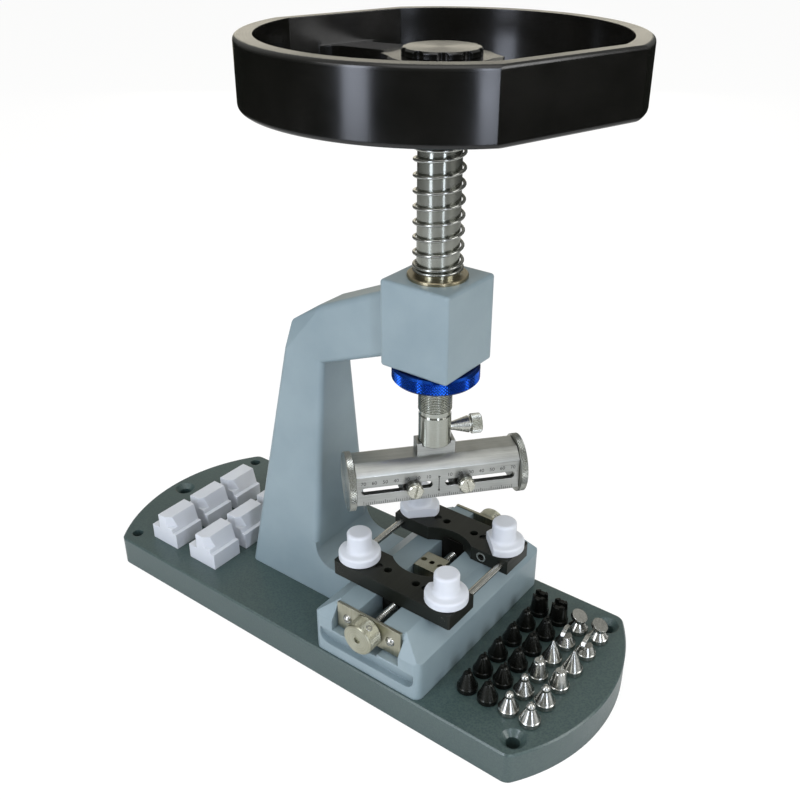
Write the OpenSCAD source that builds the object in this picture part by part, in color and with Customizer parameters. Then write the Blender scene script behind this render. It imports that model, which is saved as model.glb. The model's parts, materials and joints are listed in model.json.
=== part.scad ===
// Bench press for opening watch cases: a cast C-frame over a self-centring vise,
// a sprung spindle with a handwheel, and an adjustable two-die chuck.
// Millimetres, +Z up. The front edge with the rows of tips faces -Y, the column
// stands towards +Y, and the origin is on the underside, at the middle of the base.

/* [Base] */
// Width of the base plate
base_w = 110; // [108:1:130]
// Length of the base plate
base_l = 292; // [288:1:320]
// Thickness of the base plate
base_t = 16.6; // [14:0.2:22]
// Radius of the bowed front and rear edges
base_end_r = 90; // [80:1:140]
// Radius of the four corners in plan
base_corner_r = 5.5; // [3:0.5:8]
// Chamfer along the top edge
base_chamfer = 0.8; // [0.4:0.1:1.4]
// Through hole of the bench screws
bench_hole_d = 6.4; // [5:0.1:7.5]
// Width of the countersinks of the bench screws
countersink_d = 11.6; // [9:0.1:14]
// Distance between the two front bench screws
bench_screw_span = 90; // [80:1:92]
// Distance of the front bench screws from the front tip of the base
front_screw_inset = 22; // [18:1:24]
// Distance of the rear bench screw from the rear tip of the base
rear_screw_inset = 9; // [8:0.5:11]
// Plain holes beside the rear screw
side_hole_d = 6; // [4:0.1:7]

/* [Frame casting] */
// Distance from the front tip of the base to the spindle
spindle_setback = 98; // [96:1:104]
// Clear height from the base plate to the head
head_clear = 141.6; // [136:0.2:160]
// Height of the head block
head_h = 40; // [34:1:50]
// Side of the square head block
head_w = 35; // [32:1:42]
// Distance from the spindle to the column
throat = 57.5; // [54:0.5:62]
// Width of the column at its foot
column_foot_w = 47; // [44:1:50]
// Width of the arm
arm_w = 21.6; // [18:0.2:26]
// Depth of the column at its foot
column_foot_d = 46.5; // [42:0.5:52]
// Depth of the column at the knee
column_top_d = 25; // [20:0.5:30]
// Height of the bed between vise and column, above the base plate
bed_h = 17.9; // [14:0.1:19]
// Fillet between bed and column
bed_fillet_r = 11; // [6:0.5:14]

/* [Vise] */
// Length of the vise body across the base
vise_l = 107; // [104:1:108]
// Width of the vise body along the base
vise_w = 62; // [58:1:64]
// Height of the upright sides of the vise body above the base plate
vise_low_h = 20.7; // [18:0.1:22]
// Height of the jaw table above the base plate
table_h = 30.4; // [29:0.1:34]
// Length of the flat top of the table
table_l = 93.4; // [92:0.2:94]
// Width of the flat top of the table
table_w = 39; // [38:0.5:44]
// Width of the channel that the jaw nuts run in
channel_w = 14.6; // [13.6:0.1:16]
// Height of the channel floor above the base plate
channel_floor_h = 13.4; // [13:0.1:14.6]
// Height of the lead screw above the base plate
lead_screw_h = 23.6; // [23:0.1:24.4]
// Core diameter of the lead screw
lead_screw_d = 5; // [4:0.1:5.6]
// Distance of a bearing plate's outer face from the end of the vise body
plate_inset = 3.5; // [3:0.1:4]
// Thickness of a bearing plate
plate_t = 1.5; // [1.2:0.1:2]
// Width of a bearing plate
plate_w = 37; // [34:0.5:38]
// Height of a bearing plate
plate_h = 14.3; // [13:0.1:15]
// Diameter of the knobs on the lead screw
knob_d = 15.8; // [13:0.1:17]
// Length of the near knob
near_knob_l = 8.3; // [6:0.1:12]
// Length of the far knob
far_knob_l = 6.8; // [5:0.1:12]
// Length of a jaw along the base
jaw_l = 68; // [66:1:74]
// Width of a jaw across the base
jaw_w = 19.75; // [18:0.25:22]
// Thickness of a jaw
jaw_t = 7.7; // [6.6:0.1:10]
// Gap between the jaws in the pose of the photograph
jaw_gap = 29.5; // [26:0.5:33]
// Chord of the hollow in a jaw's inner face
hollow_chord = 26; // [20:1:28]
// Depth of the hollow in a jaw's inner face
hollow_depth = 4.75; // [3:0.25:6]
// Diameter of the guide rods
rod_d = 3.5; // [2.5:0.1:4]
// Distance between the two guide rods
rod_span = 59.6; // [58:0.2:61]
// Diameter of a case peg's flange
peg_flange_d = 20.5; // [18:0.5:21]
// Diameter of a case peg's stem
peg_stem_d = 12; // [8:0.5:13]
// Height of a case peg above its jaw
peg_h = 15; // [12:0.5:16]

/* [Spindle] */
// Diameter of the shaft that slides in the head
shaft_d = 18; // [14:0.5:19]
// Diameter of the smooth stem above the chuck
stem_d = 15; // [13:0.5:15.5]
// Length of the smooth stem
stem_l = 15.5; // [14:0.5:18]
// Core diameter of the stop ring's thread
thread_core_d = 14.4; // [13:0.1:15]
// Length of thread that shows below the stop ring
thread_l = 17.5; // [15:0.5:20]
// Diameter of the stop ring
ring_d = 39.2; // [34:0.2:44]
// Thickness of the stop ring
ring_t = 7; // [5:0.1:8.4]
// Height of the handwheel's hub underside above the head
hub_rise = 56.8; // [52:0.2:60]
// Wall of the bronze bush
bush_wall = 2; // [1.5:0.1:3]
// Diameter of the bush's flange
bush_flange_d = 26; // [24:0.5:30]
// Thickness of the bush's flange
bush_flange_t = 1.5; // [1:0.1:2.5]
// Diameter of the spring wire
wire_d = 1.7; // [1.2:0.1:1.8]
// Pitch of the spring's open turns
spring_pitch = 6.4; // [5.4:0.1:8]

/* [Handwheel] */
// Diameter over the round part of the rim
wheel_d = 154; // [150:1:166]
// Distance over the two flats of the rim
wheel_flats = 139; // [134:0.5:144]
// Wall of the round part of the rim
rim_wall = 7.2; // [5:0.1:9]
// Wall of the flat parts of the rim
flat_wall = 5.5; // [4:0.1:7]
// Height of the rim
rim_h = 25.4; // [20:0.2:30]
// Height of the rim's lower edge above the hub's underside
rim_rise = 14.3; // [12:0.1:18]
// Diameter of the hub's plate
hub_d = 42; // [38:1:46]
// Width of a spoke at its waist
spoke_w = 17; // [14:0.5:20]
// Turn of the flats from the base's length
wheel_turn = -16.3; // [-45:0.1:45]
// Diameter of the scalloped cap nut
cap_nut_d = 30.8; // [26:0.2:34]
// Thickness of the cap nut's rim
cap_nut_t = 3; // [2.4:0.1:5]

/* [Chuck] */
// Length of the chuck body
chuck_l = 76.4; // [74:0.2:90]
// Diameter of the round bar that the chuck body is cut from
chuck_d = 25.6; // [25:0.2:27]
// Width over the flats of the chuck body
chuck_w = 20.6; // [20:0.2:22]
// Depth of the chuck body below its screw
chuck_skirt = 7.4; // [7:0.1:8.4]
// Depth of the flat along the top of the chuck body
chuck_flat = 0.85; // [0.6:0.05:1.2]
// Width of the channel inside the chuck body
chuck_channel_w = 15; // [14:0.1:15.6]
// Height of the guide slots
slot_h = 3.6; // [3:0.1:3.8]
// Start of a guide slot, from the middle
slot_from = 3; // [2.8:0.1:3.1]
// End of a guide slot, from the middle
slot_to = 36; // [34:0.1:36]
// Diameter of the knurled end discs
end_disc_d = 27.6; // [24:0.2:29]
// Thickness of an end disc
end_disc_t = 3.3; // [2.4:0.1:5]
// Distance of a die from the middle
die_at = 12; // [9:0.5:20]
// Length of a die block
die_l = 9; // [8:0.1:9.2]
// Bore for the tips in a die block
tip_bore_d = 4; // [3:0.1:4.4]
// Turn of the chuck from the width of the base
chuck_turn = -40.8; // [-90:0.1:90]
// Length of the saddle along the chuck
saddle_l = 17.8; // [17.4:0.1:20]
// Width of the saddle
saddle_w = 8; // [7:0.1:8.6]

/* [Holders and tips] */
// Distance between the columns of tips
tip_pitch_y = 11; // [10.4:0.1:11.2]
// Distance between the rows of tips
tip_pitch_x = 13.1; // [12:0.1:14]
// Tips in a column
tips_in_column = 6; // [6:1:6]
// Diameter of a tip's body
tip_d = 9.7; // [8:0.1:10]
// Diameter of a tip's spigot in the base
tip_spigot_d = 3.9; // [3:0.1:3.9]
// Width of a case block
block_w = 18.5; // [16:0.5:20]
// Length of a case block
block_l = 19.5; // [18:0.5:21]
// Height of a case block
block_h = 18.2; // [16:0.1:22]
// Distance between case blocks in a row
block_pitch = 23.3; // [22:0.1:24]
// Case blocks in a row
blocks_in_row = 3; // [1:1:4]

/* [Fits] */
// Radial clearance where one piece turns or slides on another
run_gap = 0.06; // [0.03:0.01:0.1]
// Clearance round pieces that are pushed or screwed together
push_gap = 0.04; // [0.02:0.01:0.08]
// Clearance between faces that rub or rest on each other
face_gap = 0.2; // [0.1:0.05:0.3]

/* [Hidden] */
$fn = 64;
eps = 0.01;

// Places along the base and heights above the bench
spindle_y = -base_l / 2 + spindle_setback;
head_z = base_t + head_clear;
table_z = base_t + table_h;
screw_z = base_t + lead_screw_h;
jaw_z = table_z + face_gap;
jaw_top = jaw_z + jaw_t;
jaw_x = jaw_gap / 2;
jaw_out = jaw_x + jaw_w;
plate_x = vise_l / 2 - plate_inset;
pad_x = plate_x - plate_t;
rod_z = jaw_z + jaw_t / 2;
rod_y = rod_span / 2;

// Places on the pegs and the jaw's small holes
peg_x = jaw_x + jaw_w / 2;
peg_spigot_d = 4;
peg_wall = 0.55;
peg_y = rod_y - (rod_d + peg_spigot_d) / 2 - peg_wall;
peg_flange_t = 5;
peg_flat = 0.32;
nut_screw_y = 13.9;
nut_screw_d = 2.5;
nut_head_d = 3.8;
nut_head_h = 1.1;
nut_head_seat = 2;
case_hole_y = 8.3;
case_hole_d = 4;
nut_l = 12;
nut_flange_t = 3;
nut_flange_l = 34;
eyelet_y = 19;
eyelet_d = 5.3;
eyelet_l = 3.7;
eyelet_lip = 0.2;

// Spindle heights from the ring down to the chuck and up to the wheel
ring_top = head_z - face_gap;
ring_bottom = ring_top - ring_t;
thread_bottom = ring_bottom - thread_l;
stem_bottom = thread_bottom - stem_l;
chuck_drop = 16.7;
chuck_z = stem_bottom - chuck_drop;
hub_z = head_z + head_h + hub_rise;
rim_z = hub_z + rim_rise;
hub_h = 31;
hub_top = hub_z + hub_h;
nut_top = hub_top + cap_nut_t;
thumb_rise = 7;
thumb_z = stem_bottom + thumb_rise;
flange_top = head_z + head_h + bush_flange_t;
shank_d = 8;
shank_l = 16;
stud_d = 12;

// Chuck sections measured from its screw
chuck_r = chuck_d / 2;
chuck_roof = 7.5;
end_wall = 2;
chuck_screw_d = 6;
die_clear = 0.12;
lock_shank_d = slot_h - 0.3;
chuck_top = chuck_r - chuck_flat;
saddle_top = stem_bottom + 1.4;
saddle_screw_x = 5.5;

// Return spring between the bush flange and the hub
spring_r = shaft_d / 2 + wire_d / 2 + 0.45;
spring_z0 = flange_top + 0.3 + wire_d / 2;
spring_z1 = hub_z - 0.3 - wire_d / 2;
closed_pitch = wire_d + 0.46;
closed_low = 1.75;
closed_high = 1.5;
open_turns = (spring_z1 - spring_z0 - (closed_low + closed_high) * closed_pitch) / spring_pitch;
spring_turns = closed_low + open_turns + closed_high;
rings_per_turn = 16;
spring_start = 77;

// Points of an arc, both ends included
function arc(cx, cy, r, a0, a1, n) =
    [for (i = [0 : n]) let (a = a0 + (a1 - a0) * i / n) [cx + r * cos(a), cy + r * sin(a)]];

// Points of a rectangle with round corners about the origin
function round_rect(w, l, r, n = 6) = concat(
    arc(w / 2 - r, l / 2 - r, r, 0, 90, n),
    arc(-w / 2 + r, l / 2 - r, r, 90, 180, n),
    arc(-w / 2 + r, -l / 2 + r, r, 180, 270, n),
    arc(w / 2 - r, -l / 2 + r, r, 270, 360, n));

module slab(points, h) { linear_extrude(h) polygon(points); }

// Carries its children from the plan of the base to the spindle axis
module at_spindle() { translate([0, spindle_y, 0]) children(); }

// Carries its children to the chuck's screw, with X along it and -Y to its front
module at_chuck() {
    at_spindle() translate([0, 0, chuck_z]) rotate([0, 0, chuck_turn]) children();
}

// Lays a cylinder along X from the origin
module rod_x(d, l) { rotate([0, 90, 0]) cylinder(d = d, h = l); }

// Lays a cylinder along -Y from the origin
module rod_front(d, l) { rotate([90, 0, 0]) cylinder(d = d, h = l); }

// Draws an outline of Y and Z and carries it along X, centred
module profile_x(w) {
    translate([-w / 2, 0, 0]) rotate([90, 0, 90]) linear_extrude(w) children();
}

// Draws an outline of X and Z and carries it along Y, centred
module profile_y(l) {
    translate([0, l / 2, 0]) rotate([90, 0, 0]) linear_extrude(l) children();
}

// Half of the outline of the base: one side and one bowed end
function base_end(inset) =
    let (w = base_w / 2 - inset, r = base_end_r - inset, c = base_corner_r - inset)
    let (yc = base_l / 2 - base_end_r)
    let (cx = w - c, cy = yc + sqrt(pow(r - c, 2) - cx * cx))
    let (a = atan2(cy - yc, cx))
    concat(arc(cx, cy, c, 0, a, 6), arc(0, yc, r, a, 180 - a, 32), arc(-cx, cy, c, 180 - a, 180, 6));

module base_blank() {
    hull() {
        for (inset = [0, base_chamfer])
            slab(concat(base_end(inset), [for (p = base_end(inset)) [-p[0], -p[1]]]),
                 base_t - base_chamfer + inset);
    }
}

front_screw_y = -base_l / 2 + front_screw_inset;
rear_screw_y = base_l / 2 - rear_screw_inset;
side_hole_x = 47;
side_hole_y = rear_screw_y - 13.5;
bolt_d = 8;
bolt_head_d = 13;
bolt_head_h = 8;
bolt_pocket = 9;
bolt_l = base_t - bolt_pocket + channel_floor_h - 3;
column_mid_y = spindle_y + throat + 22;
bolt_places = [[-38, spindle_y], [38, spindle_y], [-12, column_mid_y], [12, column_mid_y]];

// Places of the tips: four columns of rows in front of the vise
tip_column_y = [for (i = [0 : 3]) spindle_y - vise_w / 2 - 13 - i * tip_pitch_y];
function tip_row_x(i) = (i - (tips_in_column - 1) / 2) * tip_pitch_x;
spigot_l = 7;

// Places of the case blocks behind the column
block_x0 = -base_w / 2 + 20.95;
block_rows = [spindle_y + 121.75, spindle_y + 151.75];

module base_plate() {
    color([0.27, 0.35, 0.35]) difference() {
        base_blank();
        for (x = [-1, 1]) {
            translate([x * bench_screw_span / 2, front_screw_y, 0]) bench_hole();
            translate([x * side_hole_x, side_hole_y, -eps])
                cylinder(d = side_hole_d, h = base_t + 2 * eps);
        }
        translate([0, rear_screw_y, 0]) bench_hole();
        for (p = bolt_places) translate([p[0], p[1], -eps]) {
            cylinder(d = bolt_head_d + 1, h = bolt_pocket + eps);
            cylinder(d = bolt_d + 2 * push_gap, h = base_t + 2 * eps);
        }
        for (y = tip_column_y, i = [0 : tips_in_column - 1])
            translate([tip_row_x(i), y, base_t - spigot_l - 0.5])
                cylinder(d = tip_spigot_d + 2 * push_gap, h = spigot_l + 1);
        for (y = block_rows, i = [0 : blocks_in_row - 1])
            translate([block_x0 + i * block_pitch, y, base_t - spigot_l - 0.5])
                cylinder(d = tip_spigot_d + 2 * push_gap, h = spigot_l + 1);
    }
}

module bench_hole() {
    sink = (countersink_d - bench_hole_d) / 2;
    translate([0, 0, -eps]) cylinder(d = bench_hole_d, h = base_t + 2 * eps);
    translate([0, 0, base_t]) rotate_extrude()
        polygon([[0, 1], [countersink_d / 2 + 0.4, 1], [countersink_d / 2, 0],
                 [bench_hole_d / 2, -sink], [0, -sink]]);
}

// Width of the column's taper at a height above the base plate
function column_w(h) = column_foot_w - (column_foot_w - arm_w) * h / knee_h;
knee_h = 129;
arm_drop = 15.4;
arm_rise = 4;
arm_h = 31;
knee_z = base_t + knee_h;

module column() {
    hull() {
        translate([0, spindle_y + throat + column_foot_d / 2, base_t])
            slab(round_rect(column_foot_w, column_foot_d, 4), eps);
        translate([0, spindle_y + throat + column_top_d / 2, knee_z])
            slab(round_rect(arm_w, column_top_d, 3), eps);
    }
}

// Slice of the arm across the base at a distance from the spindle
module arm_slice(y, z, h) {
    translate([0, spindle_y + y, z + h / 2]) rotate([90, 0, 0])
        slab(round_rect(arm_w, h, 3), eps);
}

module arm() {
    head_end = head_w / 2 - 3;
    hull() {
        arm_slice(head_end, head_z + arm_rise - 1.4, arm_h + 1);
        arm_slice(throat + 2, head_z - arm_drop, arm_h - 1);
    }
    hull() {
        arm_slice(throat + 2, head_z - arm_drop, arm_h - 1);
        translate([0, spindle_y + throat + column_top_d / 2, knee_z])
            slab(round_rect(arm_w, column_top_d, 3), eps);
        translate([-arm_w / 2 + 3, spindle_y + throat + column_top_d - 9.5, head_z - 1.7])
            rod_x(12, arm_w - 6);
    }
}

module head_block() {
    r = 1.6;
    reach = head_w / 2 - r;
    at_spindle() hull() {
        for (x = [-reach, reach], y = [-reach, reach], z = [r, head_h - r])
            translate([x, y, head_z + z]) sphere(r = r, $fn = 24);
    }
}

// Bed with its hollow fillet up to the column, tapered like the column's sides
module bed() {
    top = base_t + bed_h;
    y1 = spindle_y + throat + 0.5;
    fillet = bed_fillet_r;
    intersection() {
        profile_x(column_foot_w)
            polygon(concat([[spindle_y, base_t]], [[y1 + 14, base_t], [y1 + 14, top + fillet]],
                           arc(y1 - fillet, top + fillet, fillet, 0, -90, 10),
                           [[spindle_y, top]]));
        profile_y(base_l) polygon([for (s = [-1, 1], h = s < 0 ? [0, knee_h] : [knee_h, 0])
            [s * column_w(h) / 2, base_t + h]]);
    }
}

module vise_body() {
    low = base_t + vise_low_h;
    notch_w = plate_w + 2;
    notch_z = screw_z - knob_d / 2 - 0.3;
    pocket_d = 3.5;
    pocket_z = base_t + 5.7;
    at_spindle() difference() {
        union() {
            intersection() {
                slab(round_rect(vise_l, vise_w, 4), table_z);
                profile_y(vise_w + 1) polygon([[-vise_l / 2, base_t], [vise_l / 2, base_t],
                    [vise_l / 2, low], [table_l / 2, table_z], [-table_l / 2, table_z],
                    [-vise_l / 2, low]]);
                profile_x(vise_l + 1) polygon([[-vise_w / 2, base_t], [vise_w / 2, base_t],
                    [vise_w / 2, low], [table_w / 2, table_z], [-table_w / 2, table_z],
                    [-vise_w / 2, low]]);
            }
            translate([-pad_x, -plate_w / 2, low]) cube([2 * pad_x, plate_w, table_z - low]);
        }
        profile_x(vise_l + 2) translate([-channel_w / 2, base_t + channel_floor_h])
            square([channel_w, table_h]);
        for (s = [-1, 1]) {
            translate([s * (pad_x + 10), 0, notch_z + 20]) cube([20, notch_w, 40], center = true);
            intersection() {
                profile_y(vise_w) polygon([[s * (vise_l / 2 - pocket_d), pocket_z],
                    [s * (vise_l / 2 + 1), pocket_z], [s * (vise_l / 2 + 1), pocket_z + 9.6],
                    [s * (vise_l / 2 - 0.4), pocket_z + 8]]);
                profile_x(vise_l + 2) translate([-0.5, pocket_z + 6])
                    polygon(round_rect(55, 12, 5));
            }
            for (y = [-1, 1])
                translate([s * (pad_x - 8), y * plate_screw_y, screw_z])
                    rotate([0, s > 0 ? 90 : -90, 0])
                    cylinder(d = plate_screw_d + 2 * push_gap, h = 12);
        }
        for (y = [-1, 1]) translate([0, y * block_screw_y, base_t + channel_floor_h - 7])
            cylinder(d = block_screw_d + 2 * push_gap, h = 10);
    }
}

plate_screw_y = 12.5;
plate_screw_d = 3;
block_screw_y = 4.75;
block_screw_d = 2.2;

module frame_casting() {
    color([0.55, 0.63, 0.66]) difference() {
        union() {
            column();
            arm();
            head_block();
            difference() {
                bed();
                at_spindle() translate([0, 0, table_z])
                    cube([200, vise_w - 2, 2 * (table_z - base_t - 2)], center = true);
            }
            vise_body();
        }
        at_spindle() translate([0, 0, head_z - 1])
            cylinder(d = shaft_d + 2 * bush_wall + 2 * push_gap, h = head_h + 2);
        for (p = bolt_places) translate([p[0], p[1], base_t - eps])
            cylinder(d = bolt_d + 2 * push_gap, h = channel_floor_h - 2.5);
    }
}

module frame_screws() {
    color([0.2, 0.2, 0.22]) for (p = bolt_places) translate([p[0], p[1], bolt_pocket])
        difference() {
            union() {
                cylinder(d = bolt_d, h = bolt_l);
                translate([0, 0, -bolt_head_h]) cylinder(d = bolt_head_d, h = bolt_head_h);
            }
            translate([0, 0, -bolt_head_h - 1]) cylinder(d = 6.9, h = 5, $fn = 6);
        }
}

module spindle_bush() {
    color([0.72, 0.56, 0.3]) at_spindle() difference() {
        translate([0, 0, head_z + 0.5]) rotate_extrude() polygon([[0, 0],
            [shaft_d / 2 + bush_wall, 0], [shaft_d / 2 + bush_wall, head_h - 0.5],
            [bush_flange_d / 2, head_h - 0.5], [bush_flange_d / 2, head_h - 0.9 + bush_flange_t],
            [bush_flange_d / 2 - 0.4, head_h - 0.5 + bush_flange_t],
            [0, head_h - 0.5 + bush_flange_t]]);
        translate([0, 0, head_z - 1]) cylinder(d = shaft_d + 2 * run_gap, h = head_h + 10);
    }
}

module bearing_plate(side) {
    z = screw_z - 7;
    color([0.72, 0.71, 0.64]) at_spindle() difference() {
        translate([side * (plate_x - plate_t / 2), 0, z + plate_h / 2])
            cube([plate_t, plate_w, plate_h], center = true);
        translate([side * (pad_x - 1), 0, screw_z]) rotate([0, side * 90, 0])
            cylinder(d = lead_screw_d + 2 * run_gap, h = plate_t + 2);
        for (y = [-1, 1]) translate([side * (pad_x - 1), y * plate_screw_y, screw_z])
            rotate([0, side * 90, 0]) cylinder(d = plate_screw_d + 2 * push_gap, h = plate_t + 2);
    }
}

// Four slotted dome-head screws that hold the bearing plates
module plate_screws() {
    color([0.78, 0.78, 0.76]) at_spindle() for (s = [-1, 1], y = [-1, 1])
        translate([s * plate_x, y * plate_screw_y, screw_z]) rotate([0, s * 90, 0])
        difference() {
            union() {
                rotate_extrude() polygon(concat([[0, 0]], arc(0, -1.16, 2.76, 24.9, 90, 6)));
                translate([0, 0, -7]) cylinder(d = plate_screw_d, h = 7.2);
            }
            translate([0, 0, 1.8]) cube([0.6, 8, 1.6], center = true);
        }
}

module centre_block() {
    z0 = base_t + channel_floor_h;
    h = table_z + 1 - z0;
    color([0.74, 0.73, 0.62]) at_spindle() difference() {
        translate([0, 0, z0 + h / 2]) cube([12, channel_w - 1.6, h], center = true);
        translate([-7, 0, screw_z]) rod_x(lead_screw_d + 2 * run_gap, 14);
        translate([0, 0, screw_z]) cylinder(d = 2.7, h = h);
        for (y = [-1, 1]) translate([0, y * block_screw_y, z0 - 1]) {
            cylinder(d = block_screw_d + 2 * push_gap, h = h + 2);
            translate([0, 0, h - 1.5]) cylinder(d = 2.9, h = 4);
        }
    }
}

module centre_block_screws() {
    z0 = base_t + channel_floor_h;
    top = table_z - 1.5;
    color([0.5, 0.5, 0.5]) at_spindle() for (y = [-1, 1])
        translate([0, y * block_screw_y, z0 - 6]) cylinder(d = block_screw_d, h = top + 6 - z0);
}

module lead_screw() {
    x0 = plate_x + face_gap + near_knob_l - knob_socket_t;
    x1 = plate_x + face_gap + far_knob_l - knob_socket_t;
    color([0.7, 0.7, 0.7]) at_spindle() translate([-x0, 0, screw_z])
        rod_x(lead_screw_d, x0 + x1);
}

knob_socket_t = 1.5;

module knob(l, side) {
    r = knob_d / 2;
    color([0.72, 0.71, 0.62]) at_spindle() difference() {
        translate([side * (plate_x + face_gap), 0, screw_z]) rotate([0, side * 90, 0])
            difference() {
                rotate_extrude() polygon([[0, 0], [r - 0.4, 0], [r, 0.4], [r, l - 0.6],
                                          [r - 0.6, l], [0, l]]);
                translate([0, 0, -1])
                    cylinder(d = lead_screw_d + 2 * push_gap, h = l + 1 - knob_socket_t + push_gap);
                translate([0, 0, l - knob_socket_t]) cylinder(d = 3.6, h = 2, $fn = 6);
            }
        grub_place(l, side) translate([0, 0, lead_screw_d / 2 - 0.5])
            cylinder(d = grub_d + 2 * push_gap, h = r);
    }
}

grub_d = 3;
grub_turn = 32;

module grub_place(l, side) {
    translate([side * (plate_x + face_gap + l / 2), 0, screw_z]) rotate([grub_turn, 0, 0])
        children();
}

module knob_grub_screws() {
    color([0.6, 0.6, 0.6]) at_spindle() for (s = [-1, 1])
        grub_place(s < 0 ? near_knob_l : far_knob_l, s) difference() {
            translate([0, 0, lead_screw_d / 2 + 0.1])
                cylinder(d = grub_d, h = knob_d / 2 - lead_screw_d / 2 - 0.6);
            translate([0, 0, knob_d / 2 - 1.8]) cylinder(d = 1.7, h = 3, $fn = 6);
        }
}

// Outline of the jaw on the +X side: straight ends and a hollow for round cases
function jaw_outline() =
    let (c = hollow_chord / 2, d = hollow_depth, r = (c * c + d * d) / (2 * d))
    let (a = asin(c / r), cx = jaw_x + d - r)
    concat(arc(cx, 0, r, -a, a, 16),
           [[jaw_x, jaw_l / 2]], [[jaw_out - 0.8, jaw_l / 2], [jaw_out, jaw_l / 2 - 0.8],
            [jaw_out, -jaw_l / 2 + 0.8], [jaw_out - 0.8, -jaw_l / 2]], [[jaw_x, -jaw_l / 2]]);

module jaw(rod_hole_d) {
    difference() {
        translate([0, 0, jaw_z]) slab(jaw_outline(), jaw_t);
        for (y = [-1, 1]) {
            translate([jaw_x - 1, y * rod_y, rod_z]) rod_x(rod_hole_d, jaw_w + 2);
            translate([peg_x, y * peg_y, jaw_z - 1])
                cylinder(d = peg_spigot_d + 2 * push_gap, h = jaw_t + 2);
            translate([peg_x, y * case_hole_y, jaw_top - 4.5]) cylinder(d = case_hole_d, h = 5);
            translate([peg_x, y * nut_screw_y, jaw_z - 1])
                cylinder(d = nut_screw_d + 2 * push_gap, h = jaw_t + 2);
            translate([peg_x, y * nut_screw_y, jaw_top - nut_head_seat])
                cylinder(d = case_hole_d, h = nut_head_seat + 1);
        }
        translate([peg_x, 0, jaw_z - 1 + (nut_flange_t + 1) / 2])
            cube([nut_l + 2 * push_gap, nut_flange_l + 2 * push_gap, nut_flange_t + 1 + 2 * push_gap],
                 center = true);
        translate([jaw_x - 1, -eyelet_y, rod_z])
            rod_x(eyelet_d + 2 * push_gap, 1 + eyelet_l - eyelet_lip + push_gap);
    }
}

module near_jaw() {
    color([0.12, 0.13, 0.11]) at_spindle() rotate([0, 0, 180]) jaw(rod_d + 2 * push_gap);
}

module far_jaw() {
    color([0.12, 0.13, 0.11]) at_spindle() jaw(rod_d + 2 * run_gap);
}

// T-shaped nut: its flange is let into the jaw, its stem reaches the lead screw
module jaw_nut() {
    stem_top = jaw_z + 0.5;
    stem_low = screw_z - 5.5;
    color([0.74, 0.6, 0.33]) difference() {
        union() {
            translate([peg_x, 0, jaw_z + (nut_flange_t - 0.1) / 2])
                cube([nut_l, nut_flange_l, nut_flange_t - 0.1], center = true);
            translate([peg_x, 0, (stem_top + stem_low) / 2])
                cube([nut_l, channel_w - 1, stem_top - stem_low], center = true);
        }
        translate([peg_x - nut_l, 0, screw_z]) rod_x(lead_screw_d + 2 * run_gap, 2 * nut_l);
        for (y = [-1, 1]) translate([peg_x, y * nut_screw_y, jaw_z - 1])
            cylinder(d = nut_screw_d + 2 * push_gap, h = nut_flange_t + 2);
    }
}

module near_jaw_nut() { at_spindle() rotate([0, 0, 180]) jaw_nut(); }
module far_jaw_nut() { at_spindle() jaw_nut(); }

module nut_screws() {
    color([0.25, 0.25, 0.25]) for (y = [-1, 1]) translate([peg_x, y * nut_screw_y, 0]) {
        translate([0, 0, jaw_z + 0.3]) cylinder(d = nut_screw_d, h = jaw_t - nut_head_seat);
        translate([0, 0, jaw_top - nut_head_seat + push_gap])
            cylinder(d = nut_head_d, h = nut_head_h);
    }
}

module near_nut_screws() { at_spindle() rotate([0, 0, 180]) nut_screws(); }
module far_nut_screws() { at_spindle() nut_screws(); }

// Two rods pressed into the near jaw, on which the far jaw slides
module guide_rods() {
    color([0.75, 0.75, 0.76]) at_spindle() for (y = [-1, 1])
        translate([-jaw_out, y * rod_y, rod_z]) rod_x(rod_d, 2 * jaw_out - 1);
}

// Nylon peg with a flat across the flange on the side given by the turn
module case_peg(turn) {
    rf = peg_flange_d / 2;
    rs = peg_stem_d / 2;
    color([0.93, 0.93, 0.96]) rotate([0, 0, turn]) difference() {
        union() {
            translate([0, 0, jaw_top]) rotate_extrude() polygon(concat(
                [[0, 0], [rf - 0.5, 0], [rf, 0.5], [rf, peg_flange_t - 1.6]],
                arc(rf - 1.2, peg_flange_t - 1.6, 1.2, 15, 90, 4),
                arc(rs + 1.6, peg_flange_t + 1.4, 1.6, 270, 180, 5),
                arc(rs - 1.5, peg_h - 1.5, 1.5, 0, 90, 5),
                [[0, peg_h]]));
            translate([0, 0, jaw_z + 0.6]) cylinder(d = peg_spigot_d, h = jaw_t);
        }
        translate([rf * (1 - peg_flat), -rf, jaw_top - eps]) cube([rf, 2 * rf, peg_flange_t + 1.6]);
    }
}

module peg_pair(turns) {
    for (i = [0, 1]) translate([peg_x, (2 * i - 1) * peg_y, 0]) case_peg(turns[i]);
}

module near_pegs() { at_spindle() rotate([0, 0, 180]) peg_pair([-135, 225]); }
module far_pegs() { at_spindle() peg_pair([135, 225]); }

module jaw_eyelet() {
    color([0.75, 0.75, 0.72]) difference() {
        translate([jaw_x - eyelet_lip, -eyelet_y, rod_z]) rod_x(eyelet_d, eyelet_l);
        translate([jaw_x - 1, -eyelet_y, rod_z]) rod_x(eyelet_d - 1.8, 8);
    }
}

module near_jaw_bush() { at_spindle() rotate([0, 0, 180]) jaw_eyelet(); }
module far_jaw_bush() { at_spindle() jaw_eyelet(); }

// Height of the spring's wire after a number of turns
function spring_z(t) = let (low = min(t, closed_low), high = max(t - closed_low - open_turns, 0))
    spring_z0 + (low + high) * closed_pitch + (t - low - high) * spring_pitch;
function spring_point(t) = let (a = spring_start + 360 * t)
    [spring_r * cos(a), spring_r * sin(a), spring_z(t)];

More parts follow.
